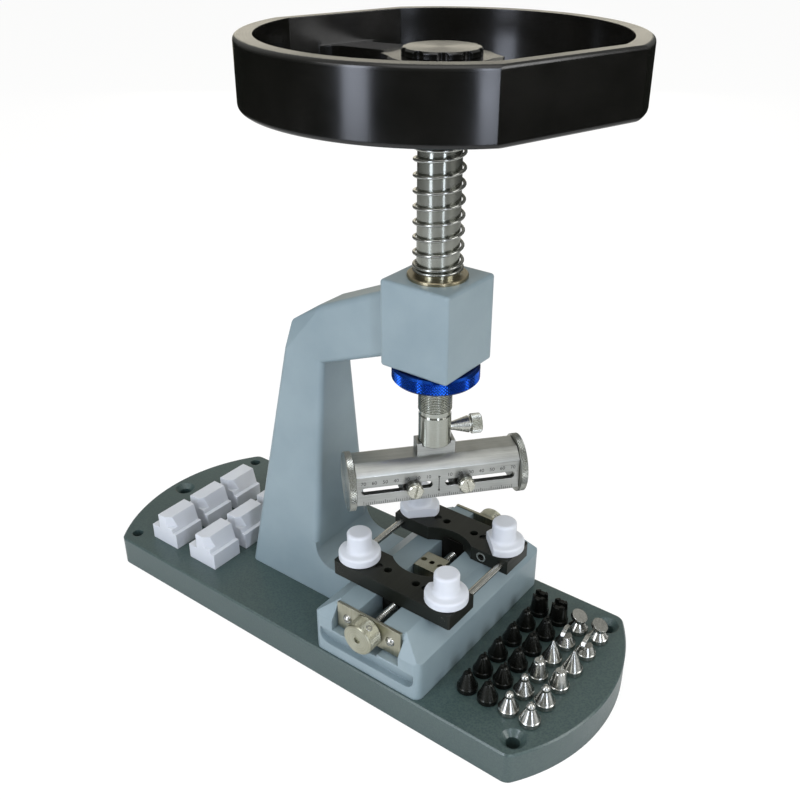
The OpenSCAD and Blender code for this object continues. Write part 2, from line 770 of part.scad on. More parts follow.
// Centre points of the wire, with a straight end of one wire diameter at each end
spring_steps = ceil(spring_turns * rings_per_turn);
spring_mid = [for (i = [0 : spring_steps]) spring_point(i * spring_turns / spring_steps)];
function unit(v) = v / norm(v);
function tangent(t) = let (a = spring_start + 360 * t) [-sin(a), cos(a), 0];
spring_line = concat([spring_mid[0] - wire_d * tangent(0)], spring_mid,
                     [spring_mid[spring_steps] + wire_d * tangent(spring_turns)]);

// Ring of six points square to the wire
function wire_ring(p, d) =
    let (out = unit([p[0], p[1], 0]), side = unit(out - d * (out * d)), up = cross(side, d))
    [for (k = [0 : 5]) p + wire_d / 2 * (cos(60 * k + 30) * side + sin(60 * k + 30) * up)];
function wire_dir(line, i) =
    unit(line[min(i + 1, len(line) - 1)] - line[max(i - 1, 0)]);

// Least gap between neighbouring turns, measured on the wire's own centre points
spring_gap = min([for (i = [0 : spring_steps - rings_per_turn])
    min([for (j = [i + rings_per_turn - 2 : min(i + rings_per_turn + 2, spring_steps)])
        norm(spring_mid[j] - spring_mid[i])])]) - wire_d;

module return_spring() {
    echo(spring_turns = spring_turns, least_gap = spring_gap);
    n = len(spring_line);
    points = [for (i = [0 : n - 1], q = wire_ring(spring_line[i], wire_dir(spring_line, i))) q];
    skin = [for (i = [0 : n - 2], k = [0 : 5])
        let (a = 6 * i + k, b = 6 * i + (k + 1) % 6)
        each [[a, a + 6, b + 6], [a, b + 6, b]]];
    ends = [for (k = [1 : 4]) each [[0, k, k + 1], [6 * n - 6, 6 * n - 6 + k + 1, 6 * n - 6 + k]]];
    color([0.7, 0.7, 0.72]) at_spindle() polyhedron(points, concat(skin, ends));
}

module spindle() {
    stud_from = hub_z + 18;
    color([0.68, 0.68, 0.66]) at_spindle() difference() {
        rotate_extrude() polygon([[0, stem_bottom], [stem_d / 2 - 0.5, stem_bottom],
            [stem_d / 2, stem_bottom + 0.5], [stem_d / 2, thread_bottom - 0.8],
            [thread_core_d / 2, thread_bottom], [thread_core_d / 2, ring_top],
            [shaft_d / 2 - 0.4, ring_top], [shaft_d / 2, ring_top + 0.4],
            [shaft_d / 2, stud_from], [stud_d / 2, stud_from],
            [stud_d / 2, nut_top - 1.2], [0, nut_top - 1.2]]);
        translate([0, 0, stem_bottom - 1]) cylinder(d = shank_d + 2 * push_gap, h = shank_l + 2);
        translate([0, 0, thumb_z]) rotate([0, 0, chuck_turn]) rod_x(4 + 2 * run_gap, stem_d);
        wheel_pin_place()
            cylinder(d = wheel_pin_d + 2 * push_gap, h = 2 * hub_barrel_d, center = true);
    }
}

// Cross pin that keys the handwheel to the spindle
module wheel_pin_place() {
    translate([0, 0, hub_z + 8]) rotate([0, 0, wheel_turn]) rotate([0, 90, 0]) children();
}

module wheel_pin() {
    color([0.5, 0.5, 0.5]) at_spindle() wheel_pin_place()
        cylinder(d = wheel_pin_d, h = hub_barrel_d - 1, center = true);
}

hub_barrel_d = 27;
wheel_pin_d = 4;

// Solid with a round rim cut by two flats, both with rounded edges
module flatted_round(d, flats, z, h, r) {
    intersection() {
        translate([0, 0, z]) rotate_extrude($fn = 180) polygon(concat([[0, 0]],
            arc(d / 2 - r, r, r, 270, 360, 4), arc(d / 2 - r, h - r, r, 0, 90, 4), [[0, h]]));
        translate([0, 0, z + h / 2]) profile_x(d + 10)
            polygon(round_rect(flats, h + 2 * flat_ease, r, 3));
    }
}
flat_ease = 0.25;

// Outline of the two spokes and the hub, waisted between hub and rim
function spoke_side(s) = let (w = spoke_w / 2, y1 = wheel_flats / 2 - flat_wall + 1)
    concat(arc(s * (w + 12), s * y1 - s * 11, 12, s > 0 ? 90 : 270, s > 0 ? 180 : 360, 6),
           arc(s * (w + 16), s * (hub_d / 2 + 9.5), 16, s > 0 ? 180 : 0, s > 0 ? 238 : 58, 6));

module spokes() {
    top = hub_h;
    reach = wheel_flats / 2 - flat_wall + 1;
    outline = concat(spoke_side(1), [[hub_d / 2 - 1, 0]],
                     [for (p = spoke_mirror(spoke_side(1), 1)) p], spoke_mirror(spoke_side(1), 2),
                     [[-hub_d / 2 + 1, 0]], spoke_mirror(spoke_side(1), 3));
    intersection() {
        translate([0, 0, hub_z]) slab(outline, 40);
        translate([0, 0, hub_z]) profile_x(hub_d * 2) polygon([
            [-reach, top - 9.2], [-hub_d / 2, top - 9], [hub_d / 2, top - 9], [reach, top - 9.2],
            [reach, top - 3.2], [hub_d / 2 - 4, top], [-hub_d / 2 + 4, top], [-reach, top - 3.2]]);
    }
}

// The same side in the other three quarters, with its points in order
function spoke_mirror(points, quarter) = let (n = len(points) - 1)
    quarter == 1 ? [for (i = [n : -1 : 0]) [points[i][0], -points[i][1]]] :
    quarter == 2 ? [for (i = [0 : n]) [-points[i][0], -points[i][1]]] :
                   [for (i = [n : -1 : 0]) [-points[i][0], points[i][1]]];

module handwheel() {
    top = hub_h;
    color([0.06, 0.06, 0.07]) at_spindle() difference() {
        rotate([0, 0, wheel_turn]) union() {
            difference() {
                flatted_round(wheel_d, wheel_flats, rim_z, rim_h, 1.6);
                intersection() {
                    translate([0, 0, rim_z - 1])
                        cylinder(d = wheel_d - 2 * rim_wall, h = rim_h + 2, $fn = 180);
                    translate([0, 0, rim_z + rim_h / 2])
                        cube([wheel_d, wheel_flats - 2 * flat_wall, rim_h + 4], center = true);
                }
            }
            spokes();
            translate([0, 0, hub_z]) rotate_extrude() polygon([[0, 0], [hub_barrel_d / 2 - 0.6, 0],
                [hub_barrel_d / 2, 0.6], [hub_barrel_d / 2, top - 12], [hub_d / 2, top - 9],
                [hub_d / 2, top - 0.8], [hub_d / 2 - 0.8, top], [0, top]]);
        }
        translate([0, 0, hub_z - 1]) cylinder(d = shaft_d + 2 * push_gap, h = 19 + push_gap);
        translate([0, 0, hub_z]) cylinder(d = stud_d + 2 * push_gap, h = top + 1);
        wheel_pin_place()
            cylinder(d = wheel_pin_d + 2 * push_gap, h = 2 * hub_barrel_d, center = true);
    }
}

module cap_nut() {
    scallops = 10;
    scallop_d = 6;
    scallop_depth = 1.1;
    r = cap_nut_d / 2;
    color([0.1, 0.1, 0.1]) at_spindle() difference() {
        translate([0, 0, hub_top]) rotate_extrude() polygon([[0, 0], [r - 0.3, 0], [r, 0.3],
            [r, cap_nut_t - 0.7], [r - 0.7, cap_nut_t], [0, cap_nut_t]]);
        translate([0, 0, hub_top - 1]) cylinder(d = stud_d + 2 * push_gap, h = cap_nut_t + 0.2);
        for (i = [0 : scallops - 1]) rotate([0, 0, 360 / scallops * i])
            translate([r + scallop_d / 2 - scallop_depth, 0, hub_top - 1])
                cylinder(d = scallop_d, h = cap_nut_t + 2);
    }
}

module stop_ring() {
    r = ring_d / 2;
    color([0.07, 0.24, 0.66]) at_spindle() difference() {
        translate([0, 0, ring_bottom]) rotate_extrude() polygon([[0, 0], [r - 1, 0], [r, 1],
            [r, ring_t - 1], [r - 1, ring_t], [0, ring_t]]);
        translate([0, 0, ring_bottom - 1])
            cylinder(d = thread_core_d + 2 * run_gap, h = ring_t + 2);
    }
}

// Saddle on the chuck's top flat: a socket for the stem's end and a shank up into it
module chuck_saddle() {
    color([0.68, 0.68, 0.65]) at_chuck() {
        difference() {
            translate([-saddle_l / 2, -saddle_w / 2, chuck_top])
                cube([saddle_l, saddle_w, saddle_top - chuck_z - chuck_top]);
            translate([0, 0, chuck_drop - 0.1]) cylinder(d = stem_d + 0.3, h = 10);
            for (s = [-1, 1]) translate([s * saddle_screw_x, 0, chuck_top - 1])
                cylinder(d = saddle_screw_d + 2 * push_gap, h = 4.7);
        }
        translate([0, 0, chuck_top + 1]) cylinder(d = shank_d, h = chuck_drop + shank_l - 14);
    }
}

saddle_screw_d = 3;
saddle_head_d = 5.4;
saddle_head_h = 1.8;
saddle_head_sink = 0.25;

module saddle_screw_places() {
    at_chuck() for (s = [-1, 1]) translate([s * saddle_screw_x, 0, 0]) children();
}

module saddle_screws() {
    color([0.3, 0.3, 0.3]) saddle_screw_places() {
        translate([0, 0, chuck_roof + saddle_head_sink])
            cylinder(d = saddle_head_d, h = saddle_head_h);
        translate([0, 0, chuck_roof + 1]) cylinder(d = saddle_screw_d, h = chuck_top - chuck_roof + 2.4);
    }
}

// Round bar with front and rear flats, channelled from below and slotted in front
module chuck_body() {
    inner = chuck_l / 2 - end_wall;
    slot_l = slot_to - slot_from - slot_h;
    color([0.7, 0.7, 0.67]) at_chuck() difference() {
        intersection() {
            translate([-chuck_l / 2, 0, 0]) rod_x(chuck_d, chuck_l);
            translate([-chuck_l / 2, -chuck_w / 2, -chuck_skirt])
                cube([chuck_l, chuck_w, chuck_skirt + chuck_top]);
        }
        translate([0, 0, chuck_roof - chuck_r])
            cube([2 * inner, chuck_channel_w, chuck_d], center = true);
        translate([-chuck_l, 0, 0]) rod_x(chuck_screw_d + 2 * run_gap, 2 * chuck_l);
        for (s = [-1, 1]) {
            translate([s * (slot_from + slot_h / 2), -chuck_channel_w / 2 + 1, 0])
                rod_front(slot_h, chuck_w);
            translate([s * (slot_to - slot_h / 2), -chuck_channel_w / 2 + 1, 0])
                rod_front(slot_h, chuck_w);
            translate([s * (slot_from + slot_to) / 2, -chuck_w / 2, 0])
                cube([slot_l, chuck_w - chuck_channel_w, slot_h], center = true);
        }
        for (s = [-1, 1]) translate([s * saddle_screw_x, 0, chuck_roof - eps]) {
            cylinder(d = saddle_head_d + 0.4, h = saddle_head_sink + saddle_head_h + 2 * push_gap);
            cylinder(d = saddle_screw_d + 2 * push_gap, h = 8);
        }
    }
}

// Knurled thumb screw that clamps the chuck's shank in the spindle
module thumb_screw() {
    head_from = stem_d / 2 + 9.2;
    color([0.74, 0.74, 0.72]) at_spindle() translate([0, 0, thumb_z]) rotate([0, 0, chuck_turn])
        rotate([0, 90, 0]) rotate_extrude() polygon([[0, shank_d / 2 + 0.25],
            [1.4, shank_d / 2 + 0.25], [2, shank_d / 2 + 0.9], [2, stem_d / 2 + 0.5],
            [4.5, head_from], [4.65, head_from + 0.2], [4.65, head_from + 4.5],
            [4.2, head_from + 4.9], [0, head_from + 4.9]]);
}

module chuck_screw() {
    l = chuck_l + 2 * face_gap + 2 * end_disc_t - 1.6;
    color([0.6, 0.6, 0.6]) at_chuck() translate([-l / 2, 0, 0]) rod_x(chuck_screw_d, l);
}

module end_disc(side) {
    r = end_disc_d / 2;
    color([0.66, 0.66, 0.63]) at_chuck() rotate([0, side * 90, 0])
        translate([0, 0, chuck_l / 2 + face_gap]) difference() {
            rotate_extrude() polygon([[0, 0], [r - 0.4, 0], [r, 0.4], [r, end_disc_t - 0.4],
                                      [r - 0.4, end_disc_t], [0, end_disc_t]]);
            translate([0, 0, -1]) cylinder(d = chuck_screw_d + 2 * push_gap, h = end_disc_t + 0.4);
        }
}

// Die block on the screw, with a bore below for a tip and a tapped hole in front
module die(side) {
    low = chuck_skirt;
    h = low + chuck_roof - 2 * die_clear;
    color([0.55, 0.55, 0.53]) at_chuck() translate([side * die_at, 0, 0]) difference() {
        translate([0, 0, h / 2 - low + die_clear])
            cube([die_l, chuck_channel_w - 2 * die_clear, h], center = true);
        translate([-die_l, 0, 0]) rod_x(chuck_screw_d + 2 * run_gap, 2 * die_l);
        translate([0, 0, -low - 1]) cylinder(d = tip_bore_d, h = low - chuck_screw_d / 2 + 0.4);
        translate([0, -chuck_screw_d / 2 - 0.6, 0])
            rod_front(lock_shank_d + 2 * run_gap, chuck_w);
    }
}

// Slotted screw that locks a die block to the face of the chuck body
module lock_screw(side) {
    face = chuck_w / 2;
    color([0.8, 0.8, 0.77]) at_chuck() translate([side * die_at, 0, 0]) rotate([90, 0, 0])
        difference() {
            rotate_extrude() polygon([[0, 4], [lock_shank_d / 2, 4], [lock_shank_d / 2, face + 3],
                [3.75, face + 3], [3.75, face + 5], [3.2, face + 5.7], [0, face + 5.7]]);
            translate([0, 0, face + 5.3]) rotate([0, 0, side * 12]) cube([1, 9, 1.6], center = true);
        }
}

// Dark collar between a lock screw's head and the chuck body
module lock_collar(side) {
    face = chuck_w / 2;
    color([0.25, 0.25, 0.25]) at_chuck() translate([side * die_at, 0, 0]) rotate([90, 0, 0])
        difference() {
            translate([0, 0, face + face_gap / 2]) cylinder(d = 7, h = 3 - face_gap);
            cylinder(d = lock_shank_d + 2 * run_gap, h = face + 9);
        }
}

// Stepped nylon block: a low front step, a sloped face, a flat top and a rear step
module case_block() {
    l = block_l;
    h = block_h;
    color([0.93, 0.93, 0.94]) difference() {
        union() {
            profile_x(block_w) translate([-l / 2, base_t]) polygon([[0, 0], [l, 0], [l, h - 9.5],
                [l - 6.2, h - 9.5], [l - 6.2, h - 0.5], [l - 6.7, h], [4.8, h], [2.4, h - 8.8],
                [0, h - 8.8]]);
            translate([0, 0, base_t - spigot_l]) cylinder(d = tip_spigot_d, h = spigot_l + 1);
        }
        translate([-block_w / 2, -l / 2 + 2.4, base_t + h]) rotate([0, 0, 45])
            cube([7, 7, 13], center = true);
    }
}

module case_block_row(y) {
    for (i = [0 : blocks_in_row - 1]) translate([block_x0 + i * block_pitch, y, 0]) case_block();
}

module front_case_blocks() { case_block_row(block_rows[0]); }
module rear_case_blocks() { case_block_row(block_rows[1]); }

// Body shared by the tips: spigot, rim and cone up to a waist
module tip_body(waist_d, waist_h) {
    r = tip_d / 2;
    rotate_extrude($fn = 48) polygon([[0, -spigot_l], [tip_spigot_d / 2 - 0.3, -spigot_l],
        [tip_spigot_d / 2, -spigot_l + 0.3], [tip_spigot_d / 2, 0.1], [r - 0.3, 0.1], [r, 0.4],
        [r, 2.6], [r - 0.4, 3], [waist_d / 2, waist_h], [0, waist_h]]);
}

module pin_tip(waist_d, pins) {
    tip_body(waist_d, 9.6);
    for (p = pins) translate([p, 0, 9]) cylinder(d = 1.5, h = 2.2);
    translate([0, 0, 9.6 - eps]) cylinder(d1 = waist_d, d2 = waist_d - 1.2, h = 0.7);
}

module ball_tip() {
    tip_body(3.6, 8.6);
    translate([0, 0, 9.6]) sphere(d = 4.2, $fn = 24);
}

module cone_tip() { tip_body(0.8, 12.4); }

module blade_tip() {
    tip_body(5.6, 6.6);
    intersection() {
        translate([0, 1, 7]) rod_front(9.4, 2);
        translate([0, 0, 6.6 + 5]) cube([12, 12, 10.4], center = true);
    }
}

module disc_tip() {
    tip_body(3.4, 7);
    translate([0, 0, 8.8]) rotate([24, 0, 0]) translate([0, 0, -1]) cylinder(d = 8, h = 2);
    translate([0, 0, 6.8]) cylinder(d = 3.4, h = 2);
}

module claw_tip() {
    difference() {
        tip_body(7.6, 11.8);
        translate([0, 0, 11.4]) cube([3, 12, 4.4], center = true);
        translate([0, 0, 12.6]) cube([12, 3, 3.4], center = true);
    }
}

module tip_at(column, i) {
    translate([tip_row_x(i), tip_column_y[column], base_t]) children();
}

module black_tips(column) {
    color([0.1, 0.11, 0.1]) {
        for (i = [0 : tips_in_column - 2]) tip_at(column, i) pin_tip(4.2, [-1.2, 1.2]);
        tip_at(column, tips_in_column - 1) claw_tip();
    }
}

module steel_tips(column) {
    color([0.75, 0.75, 0.74]) {
        tip_at(column, 0) ball_tip();
        tip_at(column, 1) ball_tip();
        tip_at(column, 2) pin_tip(5.4, [-1.7, 1.7]);
        tip_at(column, 3) cone_tip();
        tip_at(column, 4) blade_tip();
        tip_at(column, 5) disc_tip();
    }
}

module black_tips_rear() { black_tips(0); }
module black_tips_front() { black_tips(1); }
module steel_tips_rear() { steel_tips(2); }
module steel_tips_front() { steel_tips(3); }

base_plate();
frame_casting();
frame_screws();
spindle_bush();
bearing_plate(-1);  // near_bearing_plate
bearing_plate(1);  // far_bearing_plate
plate_screws();
centre_block();
centre_block_screws();
lead_screw();
knob(near_knob_l, -1);  // near_knob
knob(far_knob_l, 1);  // far_knob
knob_grub_screws();
near_jaw();
far_jaw();
near_jaw_nut();
far_jaw_nut();
near_nut_screws();
far_nut_screws();
guide_rods();
near_pegs();
far_pegs();
near_jaw_bush();
far_jaw_bush();
return_spring();
spindle();
handwheel();
wheel_pin();
cap_nut();
stop_ring();
chuck_saddle();
saddle_screws();
chuck_body();
thumb_screw();
chuck_screw();
end_disc(-1);  // left_end_disc
end_disc(1);  // right_end_disc
die(-1);  // left_die
die(1);  // right_die
lock_screw(-1);  // left_lock_screw
lock_screw(1);  // right_lock_screw
lock_collar(-1);  // left_lock_collar
lock_collar(1);  // right_lock_collar
front_case_blocks();
rear_case_blocks();
black_tips_rear();
black_tips_front();
steel_tips_rear();
steel_tips_front();
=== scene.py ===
"""Looks of the bench watch case opener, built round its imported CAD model.

The CAD model is the fixed frame. Each sub-assembly below is a class that holds the sizes of what it
adds, in millimetres, gives every solid its finish, and turns, threads and knurls the pieces that
need more form than the solids have.
"""
from __future__ import annotations

import json
import logging
import math
from dataclasses import dataclass
from enum import Enum
from typing import Any, Sequence

import bmesh
import bpy
from mathutils import Matrix, Vector


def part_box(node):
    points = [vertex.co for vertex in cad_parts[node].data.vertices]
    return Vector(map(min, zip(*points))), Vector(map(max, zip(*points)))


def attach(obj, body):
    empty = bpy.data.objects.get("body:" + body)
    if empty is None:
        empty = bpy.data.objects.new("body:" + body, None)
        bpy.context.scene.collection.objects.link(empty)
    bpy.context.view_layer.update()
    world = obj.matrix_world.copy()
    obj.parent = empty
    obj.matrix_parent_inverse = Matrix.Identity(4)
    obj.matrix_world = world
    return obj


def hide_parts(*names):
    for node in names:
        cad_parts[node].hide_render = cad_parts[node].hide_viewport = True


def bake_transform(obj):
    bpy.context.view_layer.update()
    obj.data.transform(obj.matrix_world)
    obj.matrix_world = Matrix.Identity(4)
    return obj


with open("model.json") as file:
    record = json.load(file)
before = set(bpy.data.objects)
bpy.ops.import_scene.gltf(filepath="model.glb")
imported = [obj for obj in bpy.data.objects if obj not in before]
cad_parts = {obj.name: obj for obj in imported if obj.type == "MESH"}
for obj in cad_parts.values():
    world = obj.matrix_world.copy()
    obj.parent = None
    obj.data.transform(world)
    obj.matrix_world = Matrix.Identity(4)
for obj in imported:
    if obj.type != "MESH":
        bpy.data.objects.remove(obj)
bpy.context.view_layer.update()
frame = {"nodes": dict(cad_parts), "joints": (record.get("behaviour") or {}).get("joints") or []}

LOG = logging.getLogger("case_opener")
MM = 0.001
SMOOTH_BELOW = 32.0  # edges flatter than this, in degrees, are shaded smooth
EDGE_RAYS = 6

Tree = bpy.types.NodeTree
Node = bpy.types.Node
Socket = bpy.types.NodeSocket
Source = Socket | Node
BMesh = bmesh.types.BMesh


class Mark(Enum):
    """How the tool that made a metal surface ran over it."""

    TURNED = "turned"
    BRUSHED = "brushed"
    BLASTED = "blasted"


class Slot(Enum):
    """The record's material slots."""

    BASE_PAINT = "base_paint"
    FRAME_PAINT = "frame_paint"
    BRONZE = "bronze"
    BRASS = "brass"
    NICKEL = "nickel"
    BRIGHT_STEEL = "bright_steel"
    DARK_STEEL = "dark_steel"
    SPRING_STEEL = "spring_steel"
    SPINDLE_STEEL = "spindle_steel"
    CHUCK_STEEL = "chuck_steel"
    DIE_STEEL = "die_steel"
    TIP_STEEL = "tip_steel"
    BLACK_STEEL = "black_steel"
    BLACK_ANODISED = "black_anodised"
    WHEEL_BLACK = "wheel_black"
    BLUE_ANODISED = "blue_anodised"
    WHITE_NYLON = "white_nylon"


def linear(code: str) -> tuple[float, float, float, float]:
    """Turns an sRGB hex colour linear.

    Args:
        code: Six hex digits after a hash sign.

    Returns:
        Red, green, blue and an opaque alpha, linear.
    """
    parts = [int(code[i:i + 2], 16) / 255 for i in (1, 3, 5)]
    red, green, blue = (p / 12.92 if p <= 0.04045 else ((p + 0.055) / 1.055) ** 2.4 for p in parts)
    return red, green, blue, 1.0


def per_mm(size: float) -> float:
    """The noise scale that gives a grain of so many millimetres in Object coordinates."""
    return 1 / (size * MM)


@dataclass(frozen=True)
class Line:
    """A line that a piece turns about, in millimetres."""

    centre: Vector
    along: Vector

    @classmethod
    def of_joint(cls, name: str) -> Line:
        """The axis of one of the record's hinges."""
        joint = next(j for j in frame["joints"] if j["name"] == name)
        return cls(Vector(joint["pos_m"]) / MM, Vector(joint["axis"]).normalized())

    def place(self) -> Matrix:
        """Carries a piece drawn about Z to this line."""
        turn = self.along.to_track_quat("Z", "Y").to_matrix().to_4x4()
        return Matrix.Translation(self.centre) @ turn


def node_box(node: str) -> tuple[Vector, Vector]:
    """The lowest and highest corner of a CAD node at rest, in millimetres."""
    low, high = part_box(node)
    return low / MM, high / MM


@dataclass(frozen=True)
class Span:
    """How far a CAD node reaches along a line and out from it, in millimetres."""

    low: float
    high: float
    r: float

    @classmethod
    def of(cls, node: str, line: Line) -> Span:
        """Measures a node against a line.

        Args:
            node: The node's name.
            line: The line that it is measured along.

        Returns:
            Its lowest and highest places along the line, and its greatest radius.
        """
        solid = frame["nodes"][node]
        away = [solid.matrix_world @ v.co / MM - line.centre for v in solid.data.vertices]
        along = [p.dot(line.along) for p in away]
        radii = [(p - line.along * h).length for p, h in zip(away, along)]
        return cls(min(along), max(along), max(radii))

    @property
    def way(self) -> int:
        """The way out along the line: 1 or -1."""
        return 1 if self.high + self.low > 0 else -1

    @property
    def ends(self) -> tuple[float, float]:
        """The distances of its inner and its outer end from the line's middle."""
        inner = self.way * (self.low if self.way > 0 else self.high)
        return inner, inner + self.high - self.low


SPINDLE = Line.of_joint("spindle_turn")
CHUCK = Line.of_joint("chuck_screw_turn")
LEAD = Line.of_joint("lead_screw_turn")
THUMB = Line.of_joint("thumb_screw_turn")


def feed(tree: Tree, node: Node, inputs: dict[Any, Any]) -> None:
    """Sets inputs of a node to values, or links sockets to them.

    Args:
        tree: The node's tree.
        node: The node.
        inputs: Values, output sockets, or nodes for their first output, by the input's name or
            number.
    """
    for key, value in inputs.items():
        if isinstance(value, Node):
            value = value.outputs[0]
        if isinstance(value, Socket):
            tree.links.new(value, node.inputs[key])
        else:
            node.inputs[key].default_value = value


def add_node(tree: Tree, kind: str, inputs: dict[Any, Any] | None = None, **settings: Any) -> Node:
    """Adds a shader node with its settings and links.

    Args:
        tree: The node tree that it goes into.
        kind: Blender's name of the node's type.
        inputs: What goes into it, as feed takes it.
        settings: Properties of the node by name.

    Returns:
        The new node.
    """
    node = tree.nodes.new(kind)
    for name, value in settings.items():
        setattr(node, name, value)
    feed(tree, node, inputs or {})
    return node


def bare_tree(owner: bpy.types.Material | bpy.types.World) -> Tree:
    """Empties the node tree of a new material or world.

    Args:
        owner: The material or world.

    Returns:
        Its node tree, with nothing in it.
    """
    owner.use_nodes = True
    owner.node_tree.nodes.clear()
    return owner.node_tree


@dataclass(frozen=True)
class Surface:
    """A material while it is painted: its nodes and what its patterns start from."""

    tree: Tree
    shader: Node
    coords: Source
    rounded: Source

    def set(self, inputs: dict[Any, Any]) -> None:
        """Sets or links inputs of the shader."""
        feed(self.tree, self.shader, inputs)


@dataclass(frozen=True)
class Finish:
    """A surface finish: what it is made of and how it was made."""

    name: str
    slot: Slot
    colour: str
    shade: str
    roughness: tuple[float, float]
    edge: float = 0.35  # radius that sharp edges seem to have

    def material(self) -> bpy.types.Material:
        """The Blender material of this finish, made once."""
        return bpy.data.materials.get(self.name) or self.make()

    def make(self) -> bpy.types.Material:
        """Builds the material: its shader here, its pattern in the finish's own paint method.

        Returns:
            The new material.
        """
        material = bpy.data.materials.new(self.name)
        tree = bare_tree(material)
        shader = add_node(tree, "ShaderNodeBsdfPrincipled")
        add_node(tree, "ShaderNodeOutputMaterial", {"Surface": shader})
        coords = add_node(tree, "ShaderNodeTexCoord").outputs["Object"]
        rounded = add_node(tree, "ShaderNodeBevel", {"Radius": self.edge * MM}, samples=EDGE_RAYS)
        self.paint(Surface(tree, shader, coords, rounded))
        return material

    def paint(self, on: Surface) -> None:
        """Adds the pattern of the finish; each kind of finish has its own."""
        raise NotImplementedError

    def tint(self, on: Surface, amount: Source) -> None:
        """Colours the surface between the two colours by an amount from 0 to 1."""
        mix = add_node(on.tree, "ShaderNodeMix", {"Factor": amount, "A": linear(self.colour),
                                                  "B": linear(self.shade)}, data_type="RGBA")
        on.set({"Base Color": mix.outputs["Result"]})

    def polish(self, on: Surface, amount: Source) -> None:
        """Sets the roughness between its two values by an amount from 0 to 1."""
        span = add_node(on.tree, "ShaderNodeMapRange", {
            "Value": amount, "To Min": self.roughness[0], "To Max": self.roughness[1]})
        on.set({"Roughness": span})

    def emboss(self, on: Surface, height: Source, depth: float) -> None:
        """Raises the surface by a height from 0 to 1 over a depth in millimetres."""
        bump = add_node(on.tree, "ShaderNodeBump", {
            "Height": height, "Distance": depth * MM, "Normal": on.rounded})
        on.set({"Normal": bump})


@dataclass(frozen=True)
class Metal(Finish):
    """Bare, plated or anodised metal with the marks that the tool left."""

    mark: Mark = Mark.TURNED
    line: Line = SPINDLE
    grain: float = 0.35  # spacing of the marks
    depth: float = 0.004
    metallic: float = 1.0
    stretch: float = 0.75
    patch: float = 14.0  # width of a patch of colour
    spread: tuple[float, float] = (0.1, 0.45)  # marks times patches, from the colour to the shade
    streak: float = 0.02  # a brushed streak's width against its length

    def paint(self, on: Surface) -> None:
        """Lays the tool marks as roughness and a shallow relief, over a slow drift of colour.

        Args:
            on: The surface.
        """
        on.set({"Metallic": self.metallic})
        marks = self.marks(on)
        drift = add_node(on.tree, "ShaderNodeTexNoise", {
            "Vector": on.coords, "Scale": per_mm(self.patch), "Detail": 3.0})
        both = add_node(on.tree, "ShaderNodeMath", {0: marks, 1: drift}, operation="MULTIPLY")
        spread = add_node(on.tree, "ShaderNodeMapRange", {
            "Value": both, "From Min": self.spread[0], "From Max": self.spread[1]})
        self.tint(on, spread)
        self.polish(on, spread)
        self.emboss(on, marks, self.depth)
        if self.mark is not Mark.BLASTED:
            self.stretch_light(on)

    def stretch_light(self, on: Surface) -> None:
        """Draws highlights out across the tool marks, as fine scratches do.

        Args:
            on: The surface.
        """
        way = self.around(on)
        if self.mark is Mark.TURNED:
            facing = add_node(on.tree, "ShaderNodeTexCoord").outputs["Normal"]
            way = add_node(on.tree, "ShaderNodeVectorMath", {0: facing, 1: way},
                           operation="CROSS_PRODUCT")
        tangent = add_node(on.tree, "ShaderNodeVectorTransform", {0: way}, vector_type="VECTOR",
                           convert_from="OBJECT", convert_to="WORLD")
        on.set({"Anisotropic": self.stretch, "Tangent": tangent})

    def away(self, on: Surface) -> Source:
        """The way out from the line's centre."""
        return add_node(on.tree, "ShaderNodeVectorMath", {0: on.coords, 1: self.line.centre * MM},
                        operation="SUBTRACT")

    def around(self, on: Surface) -> Source:
        """The direction round the line, as long as the distance from it."""
        return add_node(on.tree, "ShaderNodeVectorMath", {0: self.away(on), 1: self.line.along},
                        operation="CROSS_PRODUCT")

    def marks(self, on: Surface) -> Source:
        """The tool marks as a height from 0 to 1.

        Args:
            on: The surface.

        Returns:
            Rings round the line for turned metal, streaks along it for brushed, grit for blasted.
        """
        scale = per_mm(self.grain)
        if self.mark is Mark.BLASTED:
            return add_node(on.tree, "ShaderNodeTexNoise", {"Vector": on.coords, "Scale": scale,
                                                            "Detail": 5.0})
        away, across = self.away(on), self.around(on)
        if self.mark is Mark.BRUSHED:
            slow = add_node(on.tree, "ShaderNodeVectorMath", {0: away, "Scale": self.streak},
                            operation="SCALE")
            streak = add_node(on.tree, "ShaderNodeVectorMath", {0: across, 1: slow},
                              operation="ADD")
            return add_node(on.tree, "ShaderNodeTexNoise", {"Vector": streak, "Scale": scale,
                                                            "Detail": 4.0})
        radius = add_node(on.tree, "ShaderNodeVectorMath", {0: across},
                          operation="LENGTH").outputs["Value"]
        height = add_node(on.tree, "ShaderNodeVectorMath", {0: away, 1: self.line.along},
                          operation="DOT_PRODUCT").outputs["Value"]
        reach = add_node(on.tree, "ShaderNodeMath", {0: radius, 1: height}, operation="ADD")
        return add_node(on.tree, "ShaderNodeTexNoise", {"W": reach, "Scale": scale, "Detail": 3.0},
                        noise_dimensions="1D")


